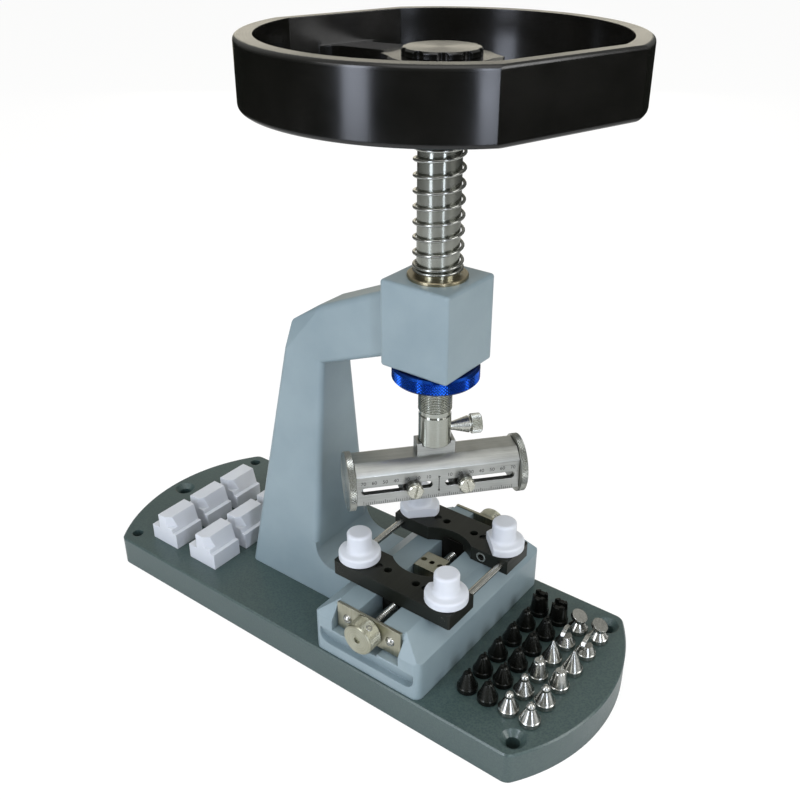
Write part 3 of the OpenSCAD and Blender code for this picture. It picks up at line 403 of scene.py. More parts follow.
@dataclass(frozen=True)
class HammertoneEnamel(Finish):
    """Sprayed hammertone enamel, which draws up into small dished cells as it dries."""

    cell: float = 0.9
    wander: float = 1.6  # the noise that bends the cells, in cells
    bend: float = 1.1  # how far it bends them, in cells
    dish: tuple[float, float] = (0.1, 0.75)  # a cell's floor and its rim
    relief: float = 0.025

    def paint(self, on: Surface) -> None:
        """Lays the dished cells, with the aluminium flake gathered between them.

        Args:
            on: The surface.
        """
        on.set({"Metallic": 0.15, "Coat Weight": 0.45, "Coat Roughness": 0.22})
        wander = add_node(on.tree, "ShaderNodeTexNoise", {
            "Vector": on.coords, "Scale": per_mm(self.cell * self.wander), "Detail": 2.0})
        bent = add_node(on.tree, "ShaderNodeVectorMath", {
            0: wander.outputs[1], 1: (self.cell * MM * self.bend,) * 3, 2: on.coords},
            operation="MULTIPLY_ADD")
        cells = add_node(on.tree, "ShaderNodeTexVoronoi", {
            "Vector": bent, "Scale": per_mm(self.cell), "Smoothness": 0.7},
            feature="SMOOTH_F1")
        dish = add_node(on.tree, "ShaderNodeMapRange", {
            "Value": cells, "From Min": self.dish[0], "From Max": self.dish[1]},
            interpolation_type="SMOOTHSTEP")
        self.tint(on, dish)
        self.polish(on, dish)
        self.emboss(on, dish, self.relief)


@dataclass(frozen=True)
class CastEnamel(Finish):
    """Satin enamel sprayed over a filled casting: a faint orange peel over a slow waviness."""

    peel: float = 1.1
    wave: float = 34.0
    drift: tuple[float, float] = (0.32, 0.68)  # of the waves, from the colour to the shade
    swell: float = 5.0  # height of the waves against the peel's
    relief: float = 0.03

    def paint(self, on: Surface) -> None:
        """Lays the orange peel and the waviness, with a slow drift of colour.

        Args:
            on: The surface.
        """
        on.set({"Coat Weight": 0.25, "Coat Roughness": 0.3})
        wave = add_node(on.tree, "ShaderNodeTexNoise", {
            "Vector": on.coords, "Scale": per_mm(self.wave), "Detail": 4.0})
        peel = add_node(on.tree, "ShaderNodeTexNoise", {
            "Vector": on.coords, "Scale": per_mm(self.peel), "Detail": 3.0})
        drift = add_node(on.tree, "ShaderNodeMapRange", {
            "Value": wave, "From Min": self.drift[0], "From Max": self.drift[1]})
        self.tint(on, drift)
        self.polish(on, peel)
        height = add_node(on.tree, "ShaderNodeMath", {0: wave, 1: self.swell, 2: peel},
                          operation="MULTIPLY_ADD")
        self.emboss(on, height, self.relief)


@dataclass(frozen=True)
class Nylon(Finish):
    """Machined white nylon: soft light inside it, and faint mill marks."""

    grain: float = 0.5
    flatten: float = 0.15  # a mill mark's height against its length
    patch: float = 9.0
    relief: float = 0.012

    def paint(self, on: Surface) -> None:
        """Lays the mill marks and lets light a little way in.

        Args:
            on: The surface.
        """
        on.set({"Subsurface Weight": 0.25, "Subsurface Radius": (1.0, 1.0, 1.1),
                "Subsurface Scale": 1.5 * MM, "IOR": 1.53})
        layers = add_node(on.tree, "ShaderNodeMapping", {
            "Vector": on.coords, "Scale": (self.flatten, self.flatten, 1.0)})
        marks = add_node(on.tree, "ShaderNodeTexNoise", {
            "Vector": layers, "Scale": per_mm(self.grain), "Detail": 3.0})
        soft = add_node(on.tree, "ShaderNodeTexNoise", {
            "Vector": on.coords, "Scale": per_mm(self.patch)})
        self.tint(on, soft)
        self.polish(on, marks)
        self.emboss(on, marks, self.relief)


# Grey-green hammertone enamel, sprayed: a fine dimpled skin with soft, broken highlights
BASE_ENAMEL = HammertoneEnamel("base_hammertone_enamel", Slot.BASE_PAINT, "#334546", "#41534f",
                               (0.38, 0.5), edge=0.7)
# Grey-blue satin enamel over a filled casting: even colour, faint orange peel, dull shine
FRAME_ENAMEL = CastEnamel("frame_satin_enamel", Slot.FRAME_PAINT, "#78898f", "#849499", (0.36, 0.5),
                          edge=0.9)
# Black anodised aluminium, turned: near black, with tall soft-edged reflections
WHEEL_BLACK = Metal("wheel_black_anodised", Slot.WHEEL_BLACK, "#080806", "#0c0b08", (0.18, 0.26),
                    edge=0.5, metallic=0.0, depth=0.001, stretch=0.6)
# White nylon, machined: a cold white that lets a little light in, with faint mill marks
NYLON = Nylon("machined_white_nylon", Slot.WHITE_NYLON, "#d2d5d9", "#c9ccd2", (0.38, 0.55),
              edge=0.4)
# Bearing bronze, turned: a dull yellowish grey with fine rings
BRONZE = Metal("turned_bronze", Slot.BRONZE, "#b3a98d", "#8a8068", (0.25, 0.4))
# Blackened nuts, milled: dark grey with faint streaks
NUT_BLACK = Metal("black_nut", Slot.BRASS, "#2a2925", "#191815", (0.35, 0.5), mark=Mark.BRUSHED,
                  line=LEAD, metallic=0.8)
# Nickel plate over turned, brushed or blasted steel: warm silver that keeps the tool marks
NICKEL_KNOB = Metal("nickel_turned_knob", Slot.NICKEL, "#bbbaa9", "#94937f", (0.26, 0.38),
                    edge=0.05, line=LEAD)
NICKEL_PLATE = Metal("nickel_brushed_plate", Slot.NICKEL, "#b4b2a0", "#8f8d7a", (0.28, 0.42),
                     mark=Mark.BRUSHED)
NICKEL_SCREW = Metal("nickel_turned_screw", Slot.NICKEL, "#bdbdb4", "#95958b", (0.26, 0.38),
                     edge=0.05, line=THUMB)
LOCK_HEAD = Metal("nickel_lock_screw", Slot.NICKEL, "#cdccc0", "#a3a295", (0.24, 0.36),
                  mark=Mark.BLASTED, grain=0.9, depth=0.002)
# Bright steel, turned: clear highlights drawn out along the rods and broken up by the threads
BRIGHT_LEAD = Metal("bright_turned_rod", Slot.BRIGHT_STEEL, "#c4c4be", "#8e8e88", (0.18, 0.3),
                    edge=0.08, line=LEAD)
BRIGHT_CHUCK = Metal("bright_chuck_screw", Slot.BRIGHT_STEEL, "#bbbbb5", "#85857f", (0.2, 0.34),
                     edge=0.05, line=CHUCK)
# Blackened fasteners: dark grey with a rough, dry shine
DARK_STEEL = Metal("blackened_steel", Slot.DARK_STEEL, "#4a4a46", "#2b2b28", (0.3, 0.5),
                   mark=Mark.BLASTED, grain=0.8)
# Drawn spring wire: bright and smooth, with small dull patches
WIRE = Metal("drawn_spring_wire", Slot.SPRING_STEEL, "#b3b4af", "#858680", (0.16, 0.28),
             mark=Mark.BLASTED, grain=0.9, depth=0.003)
# Stainless steel, ground: clear upright bands of light and dark on the spindle
SPINDLE_STEEL = Metal("ground_stainless_spindle", Slot.SPINDLE_STEEL, "#b4b6ae", "#9b9d94",
                      (0.18, 0.26), edge=0.06, grain=0.2, depth=0.001, stretch=0.85)
# Stainless steel, brushed along the chuck: a satin grey with long soft streaks
CHUCK_STEEL = Metal("brushed_stainless_chuck", Slot.CHUCK_STEEL, "#b3b4b0", "#93948f", (0.3, 0.42),
                    mark=Mark.BRUSHED, line=CHUCK, stretch=0.5)
# Stainless steel, turned: rings on the flat sides and sparkling points on the knurl
DISC_STEEL = Metal("turned_stainless_disc", Slot.CHUCK_STEEL, "#b0b1aa", "#85867e", (0.26, 0.38),
                   edge=0.05, line=CHUCK)
# Die steel, milled: a darker satin grey than the chuck round it
DIE_STEEL = Metal("milled_die_steel", Slot.DIE_STEEL, "#8b8a84", "#5f5e59", (0.3, 0.45),
                  mark=Mark.BRUSHED, line=CHUCK)
# Tool steel, polished: small hard highlights on the cones
TIP_STEEL = Metal("polished_tool_steel", Slot.TIP_STEEL, "#c2c2bd", "#9b9b96", (0.18, 0.28),
                  mark=Mark.BLASTED, grain=1.2, depth=0.0004)
# Dark turned steel: the dull grey collars under the bright screw heads
COLLAR_STEEL = Metal("dark_turned_collar", Slot.DARK_STEEL, "#6e6e69", "#4c4c48", (0.34, 0.5),
                     mark=Mark.BLASTED, grain=0.6)
# Black oxide on tool steel: near black with a faint oily shine
BLACK_STEEL = Metal("black_oxide_steel", Slot.BLACK_STEEL, "#22231f", "#131411", (0.2, 0.32),
                    mark=Mark.BLASTED, grain=0.7, depth=0.001, metallic=0.7)
# Black anodised aluminium, milled: warm black with a dull satin sheen
ANODISED = Metal("black_anodised_milled", Slot.BLACK_ANODISED, "#1e211a", "#131510", (0.38, 0.5),
                 mark=Mark.BRUSHED, line=LEAD, grain=0.5, metallic=0.4, stretch=0.3)
# Blue anodised aluminium, knurled: deep blue that glints on each point
BLUE = Metal("blue_anodised_knurl", Slot.BLUE_ANODISED, "#1a4ba4", "#0c2f7c", (0.18, 0.3),
             edge=0.06)
# Paint in the engraved scale: flat dark grey
INK = Metal("filled_engraving", Slot.DARK_STEEL, "#262523", "#181716", (0.5, 0.65),
            mark=Mark.BLASTED, metallic=0.0)


def mesh_of(bm: BMesh, name: str) -> bpy.types.Mesh:
    """Turns a bmesh into a mesh, and uses it up.

    Args:
        bm: The bmesh.
        name: The mesh's name.

    Returns:
        The mesh.
    """
    mesh = bpy.data.meshes.new(name)
    bm.to_mesh(mesh)
    bm.free()
    return mesh


def stand(data: bpy.types.ID) -> bpy.types.Object:
    """Stands a mesh, lamp or camera in the scene, under its own name.

    Args:
        data: The mesh, lamp or camera.

    Returns:
        Its object, at the origin.
    """
    thing = bpy.data.objects.new(data.name, data)
    bpy.context.scene.collection.objects.link(thing)
    return thing


def finish_piece(bm: BMesh, name: str, finish: Finish, body: str, replaced: Sequence[str] = (),
                 smooth: float = SMOOTH_BELOW, at: Matrix | None = None) -> bpy.types.Object:
    """Turns a bmesh in millimetres into a piece of the part.

    Args:
        bm: The piece, which is used up.
        name: Its name in the scene.
        finish: Its finish.
        body: The CAD body that it rides on.
        replaced: CAD nodes that it stands for.
        smooth: Edges flatter than this angle, in degrees, are shaded smooth.
        at: Carries the piece from where it was drawn to its place, in millimetres.

    Returns:
        The new object.
    """
    if at is not None:
        bmesh.ops.transform(bm, matrix=at, verts=bm.verts)
    bmesh.ops.scale(bm, vec=(MM, MM, MM), verts=bm.verts)
    bmesh.ops.recalc_face_normals(bm, faces=bm.faces)
    mesh = mesh_of(bm, name)
    mesh.shade_smooth()
    mesh.set_sharp_from_angle(angle=math.radians(smooth))
    mesh.materials.append(finish.material())
    piece = stand(mesh)
    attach(piece, body)
    if replaced:
        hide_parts(*replaced)
    LOG.info("piece %s: %d faces, on %s", name, len(mesh.polygons), body)
    return piece


def dress(finish: Finish, *nodes: str) -> None:
    """Gives CAD nodes a finish, and leaves their shape as it is.

    Args:
        finish: The finish.
        nodes: The nodes' names.
    """
    for node in nodes:
        slots = frame["nodes"][node].data.materials
        slots.clear()
        slots.append(finish.material())
        LOG.info("finish %s on %s", finish.name, node)


@dataclass(frozen=True)
class Row:
    """One ring of a turned piece: its radius, height, depth of knurl and number of flats."""

    r: float
    h: float
    cut: float = 0.0
    flats: int = 0

    def radius(self, angle: float, low: int) -> float:
        """The radius at an angle.

        Args:
            angle: The angle, in radians.
            low: 1 for a corner that a knurl cuts in, otherwise 0.

        Returns:
            The radius, in millimetres.
        """
        if self.flats:
            side = math.tau / self.flats
            return self.r / math.cos(angle % side - side / 2)
        return self.r - self.cut * low


@dataclass(frozen=True)
class Knurl:
    """A diamond knurl between two eased rims, in millimetres."""

    pitch: float
    cut: float
    rim: float  # height of a rim
    ease: float  # how far a rim falls in at the face
    lip: float  # how far a rim's top lies under the points
    gap: float  # between a rim and the knurl

    def rows(self, r: float, low: float, high: float) -> list[Row]:
        """The outer rings of a knurled piece, face to face.

        Args:
            r: Radius over the points.
            low: Height of the one face.
            high: Height of the other.

        Returns:
            The rings; those of the knurl are half a pitch apart.
        """
        foot, top = low + self.rim + self.gap, high - self.rim - self.gap
        count = max(2, round(abs(top - foot) / (self.pitch / 2)))
        points = [Row(r, foot + (top - foot) * i / count, self.cut) for i in range(count + 1)]
        return [Row(r - self.ease, low), Row(r - self.lip, low + self.rim), *points,
                Row(r - self.lip, high - self.rim), Row(r - self.ease, high)]

    def columns(self, r: float, step: int = 2) -> int:
        """Columns of the grid round a piece, in whole steps."""
        return step * round(math.tau * r / self.pitch * 2 / step)


def turned(rows: Sequence[Row], columns: int, way: int = 1, closed: bool = False,
           diamond: bool = True) -> BMesh:
    """Bends a grid round Z into a turned piece.

    Args:
        rows: The rings of the profile, from its start to its end.
        columns: Columns of the grid round the piece.
        way: 1 where the rings' heights run up Z, -1 where they run down it.
        closed: Joins the last ring to the first, for a ring-shaped piece.
        diamond: A knurl of diamonds; otherwise straight teeth.

    Returns:
        The piece, about Z, in millimetres.
    """
    rings = list(rows) + ([rows[0]] if closed else [])
    bm = bmesh.new()
    bmesh.ops.create_grid(bm, x_segments=columns, y_segments=len(rings) - 1, size=1)
    for vert in bm.verts:
        i = round((vert.co.x + 1) / 2 * columns)
        j = round((vert.co.y + 1) / 2 * (len(rings) - 1))
        angle = math.tau * (i % columns) / columns
        radius = rings[j].radius(angle, (i + j) % 2 if diamond else i % 2)
        vert.co = (radius * math.cos(angle), radius * math.sin(angle), way * rings[j].h)
    bmesh.ops.remove_doubles(bm, verts=bm.verts, dist=1e-4)
    rough = [f for f in bm.faces if len(f.verts) == 4 and not flat_quad(f)]
    bmesh.ops.triangulate(bm, faces=rough, quad_method="SHORT_EDGE")
    return bm


def flat_quad(face: bmesh.types.BMFace, slack: float = 0.01) -> bool:
    """Tells whether a face's corners lie in one plane.

    Args:
        face: The face.
        slack: How far a corner may stand off, in millimetres.

    Returns:
        Whether they do.
    """
    middle = face.calc_center_median()
    normal = face.normal if face.normal.length else Vector((0, 0, 1))
    return all(abs((v.co - middle).dot(normal)) < slack for v in face.verts)


@dataclass(frozen=True)
class Thread:
    """A screw thread's ridge, in millimetres; its widths are shares of the pitch."""

    pitch: float
    height: float
    steps: int = 32  # in a turn
    sunk: float = 0.12  # how deep the ridge's foot lies in the rod
    foot: float = 0.98
    crest: float = 0.18
    ease: float = 0.4  # chamfer on the ends of a rod
    smooth: float = 22.0

    def wind(self, bm: BMesh, root: float, low: float, high: float, hand: int = 1) -> None:
        """Winds the ridge round Z and adds it to a piece.

        Args:
            bm: The piece, in millimetres.
            root: Radius that the ridge stands on.
            low: Height where the thread starts.
            high: Height where it ends.
            hand: 1 for a right-hand thread, -1 for a left-hand one.
        """
        sunk, crest = root - self.sunk, root + self.height
        middle, flat = self.pitch / 2, self.pitch * self.crest / 2
        corners = ((sunk, 0.0), (crest, middle - flat), (crest, middle + flat),
                   (sunk, self.pitch * self.foot))
        ring = [bm.verts.new((r, 0, low + h)) for r, h in corners]
        face = bm.faces.new(ring)
        count = int((high - low - self.pitch) / self.pitch * self.steps)
        bmesh.ops.spin(bm, geom=[*ring, *face.edges, face], axis=(0, 0, hand), cent=(0, 0, 0),
                       dvec=(0, 0, self.pitch / self.steps), angle=math.tau / self.steps * count,
                       steps=count)

    def screw(self, node: str, finish: Metal, plain: float) -> None:
        """Puts a screw with a left-hand and a right-hand half in the place of a plain rod.

        Args:
            node: The rod that it stands for, which is named like its body.
            finish: Its finish, whose line is the screw's line.
            plain: Half the plain stretch in the middle, in millimetres.
        """
        rod = Span.of(node, finish.line)
        root, low, high = rod.r - self.height, rod.low + self.ease, rod.high - self.ease
        bm = turned([Row(0, rod.low), Row(root - self.ease, rod.low), Row(root, low),
                     Row(root, high), Row(root - self.ease, rod.high), Row(0, rod.high)],
                    self.steps)
        self.wind(bm, root, plain, high)
        self.wind(bm, root, low, -plain, hand=-1)
        finish_piece(bm, node + "_threaded", finish, node, [node], self.smooth, finish.line.place())


def plate(bm: BMesh, middle: Sequence[float], size: Sequence[float]) -> None:
    """Adds a thin rectangular plate to a piece, in millimetres."""
    place = Matrix.Translation(middle) @ Matrix.Diagonal((*size, 1))
    bmesh.ops.create_cube(bm, size=1, matrix=place)


def lettering(bm: BMesh, words: str, height: float, relief: float, place: Matrix) -> None:
    """Adds a word as flat letters to a piece.

    Args:
        bm: The piece, in millimetres.
        words: What it says.
        height: Height of the letters' line, in millimetres.
        relief: How far the letters stand out to each side, in millimetres.
        place: Carries the word, drawn in the XY plane about the origin, to its place.
    """
    curve = bpy.data.curves.new("word", "FONT")
    curve.body, curve.size, curve.extrude = words, height, relief
    curve.align_x, curve.align_y = "CENTER", "CENTER"
    drawn = bpy.data.objects.new("word", curve)
    mesh = bpy.data.meshes.new_from_object(drawn)
    mesh.transform(place)
    bm.from_mesh(mesh)
    bpy.data.meshes.remove(mesh)
    bpy.data.objects.remove(drawn)
    bpy.data.curves.remove(curve)


class BaseAndFrame:
    """The base plate, the casting bolted to it, and the plain bush in its head."""

    def build(self) -> None:
        """Gives the base, the casting and their fasteners their finishes."""
        dress(BASE_ENAMEL, "base_plate")
        dress(FRAME_ENAMEL, "frame_casting")
        dress(DARK_STEEL, "frame_screws")
        dress(BRONZE, "spindle_bush")


@dataclass
class Vise:
    """The self-centring vise: plates, knobs, screw, jaws and pegs."""

    knurl: Knurl = Knurl(pitch=0.9, cut=0.25, rim=0.55, ease=0.55, lip=0.1, gap=0.05)
    knob_smooth: float = 18.0
    socket_r: float = 1.6
    socket_depth: float = 1.4
    thread: Thread = Thread(pitch=1.0, height=0.42)
    plain: float = 7.0
    grub_r: float = 1.5
    grub_turn: float = 32.0
    grub_socket_r: float = 0.75
    grub_foot: float = 2.0  # what lies under its socket
    grub_proud: float = 0.02
    grub_ease: float = 0.2
    knobs: tuple[str, ...] = ("near_knob", "far_knob")

    def build(self) -> None:
        """Dresses the vise's solids and adds its knurled knobs and its threads."""
        dress(NICKEL_PLATE, "near_bearing_plate", "far_bearing_plate", "centre_block")
        dress(BRIGHT_LEAD, "plate_screws", "centre_block_screws", "guide_rods", "near_jaw_bush",
              "far_jaw_bush")
        dress(ANODISED, "near_jaw", "far_jaw")
        dress(NUT_BLACK, "near_jaw_nut", "far_jaw_nut")
        dress(DARK_STEEL, "near_nut_screws", "far_nut_screws")
        dress(NYLON, "near_pegs", "far_pegs")
        self.blacken_rod_ends()
        for node in self.knobs:
            self.knob(node)
        self.grub_screws()
        self.thread.screw("lead_screw", BRIGHT_LEAD, self.plain)

    def blacken_rod_ends(self) -> None:
        """Blackens the guide rods' ends, which are filled flush with the near jaw's outer side."""
        mesh = frame["nodes"]["guide_rods"].data
        mesh.materials.append(ANODISED.material())
        end = node_box("guide_rods")[0].x * MM
        for face in mesh.polygons:
            if face.normal.x < -0.9 and face.center.x < end + MM:
                face.material_index = len(mesh.materials) - 1

    def knob(self, node: str) -> None:
        """A knob in place of its plain solid: diamond knurl, eased rims and a hexagon socket.

        Args:
            node: The knob's CAD node.
        """
        span = Span.of(node, LEAD)
        start, end = span.ends
        floor = end - self.socket_depth
        rows = [Row(0, start), *self.knurl.rows(span.r, start, end),
                Row(self.socket_r, end, flats=6), Row(self.socket_r, floor, flats=6), Row(0, floor)]
        bm = turned(rows, self.knurl.columns(span.r, 12), span.way)
        finish_piece(bm, node + "_knurled", NICKEL_KNOB, "lead_screw", [node], self.knob_smooth,
                     LEAD.place())

    def grub_screws(self) -> None:
        """The knobs' grub screws, their sockets open at the knurl."""
        bm = bmesh.new()
        for node in self.knobs:
            span = Span.of(node, LEAD)
            top = span.r + self.grub_proud
            floor = top - self.socket_depth
            foot = floor - self.grub_foot
            screw = turned([Row(0, foot), Row(self.grub_r, foot),
                            Row(self.grub_r, top - self.grub_ease),
                            Row(self.grub_r - self.grub_ease, top),
                            Row(self.grub_socket_r, top, flats=6),
                            Row(self.grub_socket_r, floor, flats=6), Row(0, floor)], 24)
            middle = LEAD.centre + LEAD.along * (span.low + span.high) / 2
            turn = Matrix.Rotation(math.radians(self.grub_turn), 4, "X")
            bmesh.ops.transform(screw, matrix=Matrix.Translation(middle) @ turn, verts=screw.verts)
            mesh = mesh_of(screw, "grub")
            bm.from_mesh(mesh)
            bpy.data.meshes.remove(mesh)
        finish_piece(bm, "knob_grub_screws_bright", BRIGHT_LEAD, "lead_screw", ["knob_grub_screws"])


@dataclass
class Press:
    """The spindle with its thread, stop ring, return spring and handwheel."""

    core_r: float = 7.2
    stem_length: float = 15.5
    groove: float = 1.3
    thread: Thread = Thread(pitch=0.82, height=0.5, steps=40)
    thread_hidden: float = 1.0  # what runs up into the stop ring
    thread_smooth: float = 20.0
    knurl: Knurl = Knurl(pitch=1.5, cut=0.5, rim=0.9, ease=0.9, lip=0.15, gap=0.1)
    ring_smooth: float = 12.0
    shaft_r: float = 9.0
    wire: float = 1.4
    wire_gap: float = 0.4  # between the wire and the shaft
    wire_steps: int = 30
    wire_sides: int = 14
    open_pitch: float = 6.4
    closed_gap: float = 0.46
    closed_turns: tuple[float, float] = (1.75, 1.5)
    start_angle: float = 311.0

    def build(self) -> None:
        """Dresses the spindle's solids and adds its thread, ring and spring."""
        dress(SPINDLE_STEEL, "spindle")
        dress(WHEEL_BLACK, "handwheel", "cap_nut")
        dress(DARK_STEEL, "wheel_pin")
        self.stop_ring()
        self.spindle_thread()
        self.return_spring()

    def on_axis(self) -> Matrix:
        """Carries a piece drawn about Z, at its true height, to the spindle's line."""
        return Matrix.Translation(Vector((SPINDLE.centre.x, SPINDLE.centre.y, 0)))

    def stop_ring(self) -> None:
        """The blue stop ring, diamond-knurled between two chamfers."""
        low, high = node_box("stop_ring")
        r, bore = (high.x - low.x) / 2, self.core_r + self.thread.height
        bm = turned([Row(bore, low.z), *self.knurl.rows(r, low.z, high.z), Row(bore, high.z)],
                    self.knurl.columns(r), closed=True)
        finish_piece(bm, "stop_ring_knurled", BLUE, "stop_ring", ["stop_ring"], self.ring_smooth,
                     self.on_axis())

    def spindle_thread(self) -> None:
        """The fine thread on the spindle, between the stop ring and the groove over the stem."""
        bm = bmesh.new()
        low = node_box("spindle")[0].z + self.stem_length + self.groove
        self.thread.wind(bm, self.core_r, low, node_box("stop_ring")[0].z + self.thread_hidden)
        finish_piece(bm, "spindle_thread", SPINDLE_STEEL, "spindle", smooth=self.thread_smooth,
                     at=self.on_axis())

    def return_spring(self) -> None:
        """The return spring: a round wire, closed at both ends."""
        foot, top = (corner.z for corner in node_box("return_spring"))
        mean = self.shaft_r + self.wire_gap + self.wire / 2
        low, high = foot + self.wire / 2, top - self.wire / 2
        closed = self.wire + self.closed_gap
        first, last = self.closed_turns
        open_turns = (high - low - (first + last) * closed) / self.open_pitch
        turns = first + open_turns + last
        bm = bmesh.new()
        bmesh.ops.create_circle(bm, cap_ends=True, radius=self.wire / 2, segments=self.wire_sides)
        start = (Matrix.Rotation(math.radians(self.start_angle), 4, "Z")
                 @ Matrix.Translation(Vector((mean, 0, low)))
                 @ Matrix.Rotation(math.radians(90), 4, "X"))
        bmesh.ops.transform(bm, matrix=start, verts=bm.verts)
        geom = [*bm.verts, *bm.edges, *bm.faces]
        count = round(turns * self.wire_steps)
        for i in range(count):
            at = (i + 0.5) / count * turns
            rise = self.open_pitch if first < at < first + open_turns else closed
            step = bmesh.ops.spin(bm, geom=geom, axis=(0, 0, 1), cent=(0, 0, 0), steps=1,
                                  angle=math.tau * turns / count,
                                  dvec=(0, 0, rise * turns / count))
            geom = step["geom_last"]
        spring = finish_piece(bm, "return_spring_wire", WIRE, "spring", ["return_spring"],
                              at=self.on_axis())
        spring.parent = None
        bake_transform(spring)


@dataclass
class Chuck:
    """The two-die chuck: body, saddle, screw, knurled discs and dies."""

    knurl: Knurl = Knurl(pitch=1.3, cut=0.4, rim=0.18, ease=0.38, lip=0.1, gap=0.05)
    disc_smooth: float = 15.0
    thread: Thread = Thread(pitch=1.0, height=0.42)
    plain: float = 1.0

    def build(self) -> None:
        """Dresses the chuck's solids and adds its threads and its knurled discs."""
        dress(CHUCK_STEEL, "chuck_body", "chuck_saddle")
        dress(DIE_STEEL, "left_die", "right_die")
        dress(DARK_STEEL, "saddle_screws")
        dress(COLLAR_STEEL, "left_lock_collar", "right_lock_collar")
        dress(LOCK_HEAD, "left_lock_screw", "right_lock_screw")
        self.thread.screw("chuck_screw", BRIGHT_CHUCK, self.plain)
        for node in ("left_end_disc", "right_end_disc"):
            self.end_disc(node)

    def end_disc(self, node: str) -> None:
        """An end disc in place of its plain solid, diamond-knurled round its rim.

        Args:
            node: The disc's CAD node.
        """
        span = Span.of(node, CHUCK)
        bm = turned([Row(0, span.low), *self.knurl.rows(span.r, span.low, span.high),
                     Row(0, span.high)], self.knurl.columns(span.r))
        finish_piece(bm, node + "_knurled", DISC_STEEL, "chuck_screw", [node], self.disc_smooth,
                     CHUCK.place())


@dataclass
class ThumbScrew:
    """The thumb screw that holds the chuck: thin shank, cone, groove and straight-toothed head."""

    neck_r: float = 1.4
    neck_low: float = 4.25
    step: float = 0.4  # length of the neck, and of the slope up to the shank
    shank_r: float = 2.0
    cone_from: float = 8.0
    cone: float = 0.86  # the cone's and the groove's radius against the head's
    groove: float = 0.7
    groove_places: tuple[float, float, float] = (1.1, 0.9, 0.2)  # below the head
    head_length: float = 4.9
    rims: tuple[float, float] = (0.3, 0.4)  # heights of the head's inner and outer rim
    teeth: int = 30
    tooth_cut: float = 0.5
    smooth: float = 15.0

    def build(self) -> None:
        """Turns the thumb screw and cuts its teeth."""
        span = Span.of("thumb_screw", THUMB)
        r, low, end = span.r, self.neck_low, max(abs(span.low), abs(span.high))
        head, root, groove = end - self.head_length, r - self.tooth_cut, r * self.groove
        cone_to, groove_from, groove_to = (head - place for place in self.groove_places)
        rows = [Row(0, low), Row(self.neck_r, low), Row(self.neck_r, low + self.step),
                Row(self.shank_r, low + 2 * self.step), Row(self.shank_r, self.cone_from),
                Row(r * self.cone, cone_to), Row(groove, groove_from), Row(groove, groove_to),
                Row(root, head), Row(r, head + self.rims[0], self.tooth_cut),
                Row(r, end - self.rims[1], self.tooth_cut), Row(root, end), Row(0, end)]
        bm = turned(rows, 2 * self.teeth, span.way, diamond=False)
        finish_piece(bm, "thumb_screw_toothed", NICKEL_SCREW, "thumb_screw", ["thumb_screw"],
                     self.smooth, THUMB.place())


@dataclass
class Scale:
    """The scale on the chuck's front: ticks, opening widths and a double arrow."""

    reach: int = 35
    label_step: int = 5
    label_rise: float = 4.1
    label_height: float = 2.5
    label_relief: float = 0.02
    tick_width: float = 0.22
    tick_height: float = 1.3
    tick_foot: float = 0.2  # above the lower edge of the flat
    long_tick: float = 1.5  # against a short one
    ink: float = 0.03
    arrow_width: float = 0.36
    arrow_length: float = 7.4
    head_rise: float = 3.6
    head_r: float = 0.75

    def build(self) -> None:
        """Lays the scale on the flat that the chuck's body turns to the front."""
        along = CHUCK.along if CHUCK.along.x > 0 else -CHUCK.along
        turn = Matrix.Rotation(math.atan2(along.y, along.x), 4, "Z")
        place = Matrix.Translation(CHUCK.centre) @ turn
        solid = frame["nodes"]["chuck_body"]
        local = [place.inverted() @ (solid.matrix_world @ v.co / MM) for v in solid.data.vertices]
        front, foot = min(p.y for p in local), min(p.z for p in local) + self.tick_foot
        bm = bmesh.new()
        for x in range(-self.reach, self.reach + 1):
            tall = self.tick_height * (1.0 if x % self.label_step else self.long_tick)
            plate(bm, (x, front, foot + tall / 2), (self.tick_width, self.ink, tall))
        upright = Matrix.Rotation(math.radians(90), 4, "X")
        for x in range(self.label_step, self.reach + 1, self.label_step):
            for side in (-1, 1):
                spot = Matrix.Translation((side * x, front, self.label_rise))
                lettering(bm, str(2 * x), self.label_height, self.label_relief, spot @ upright)
        plate(bm, (0, front, 0), (self.arrow_width, self.ink, self.arrow_length))
        for side in (-1, 1):
            spot = Matrix.Translation((0, front, side * self.head_rise))
            point = Matrix.Rotation(math.radians(-90 * side), 4, "Z")
            bmesh.ops.create_cone(bm, cap_ends=True, segments=3, radius1=self.head_r,
                                  radius2=self.head_r, depth=self.ink,
                                  matrix=spot @ upright @ point)
        finish_piece(bm, "chuck_scale", INK, "spindle", at=place)


class TipRack:
    """The tips and case blocks that stand on the base plate."""

    def build(self) -> None:
        """Gives the tips and blocks their finishes."""
        dress(BLACK_STEEL, "black_tips_rear", "black_tips_front")
        dress(TIP_STEEL, "steel_tips_rear", "steel_tips_front")
        dress(NYLON, "front_case_blocks", "rear_case_blocks")


@dataclass(frozen=True)
class Lamp:
    """A flat softbox, in metres, on a compass bearing from the spindle, that faces its line."""

    name: str
    bearing: float
    away: float
    height: float
    size: tuple[float, float]
    power: float
    aim: float = 0.15
    colour: str = "#ffffff"

    def build(self) -> None:
        """Makes the lamp."""
        data = bpy.data.lights.new(self.name, "AREA")
        data.shape = "RECTANGLE"
        data.size, data.size_y = self.size
        data.energy = self.power
        data.color = linear(self.colour)[:3]
        lamp = stand(data)
        turn = math.radians(self.bearing)
        foot = Vector((SPINDLE.centre.x, SPINDLE.centre.y, 0)) * MM
        lamp.location = foot + Vector((self.away * math.cos(turn), self.away * math.sin(turn),
                                       self.height))
        ray = foot + Vector((0, 0, self.aim)) - lamp.location
        lamp.rotation_euler = ray.to_track_quat("-Z", "Y").to_euler()


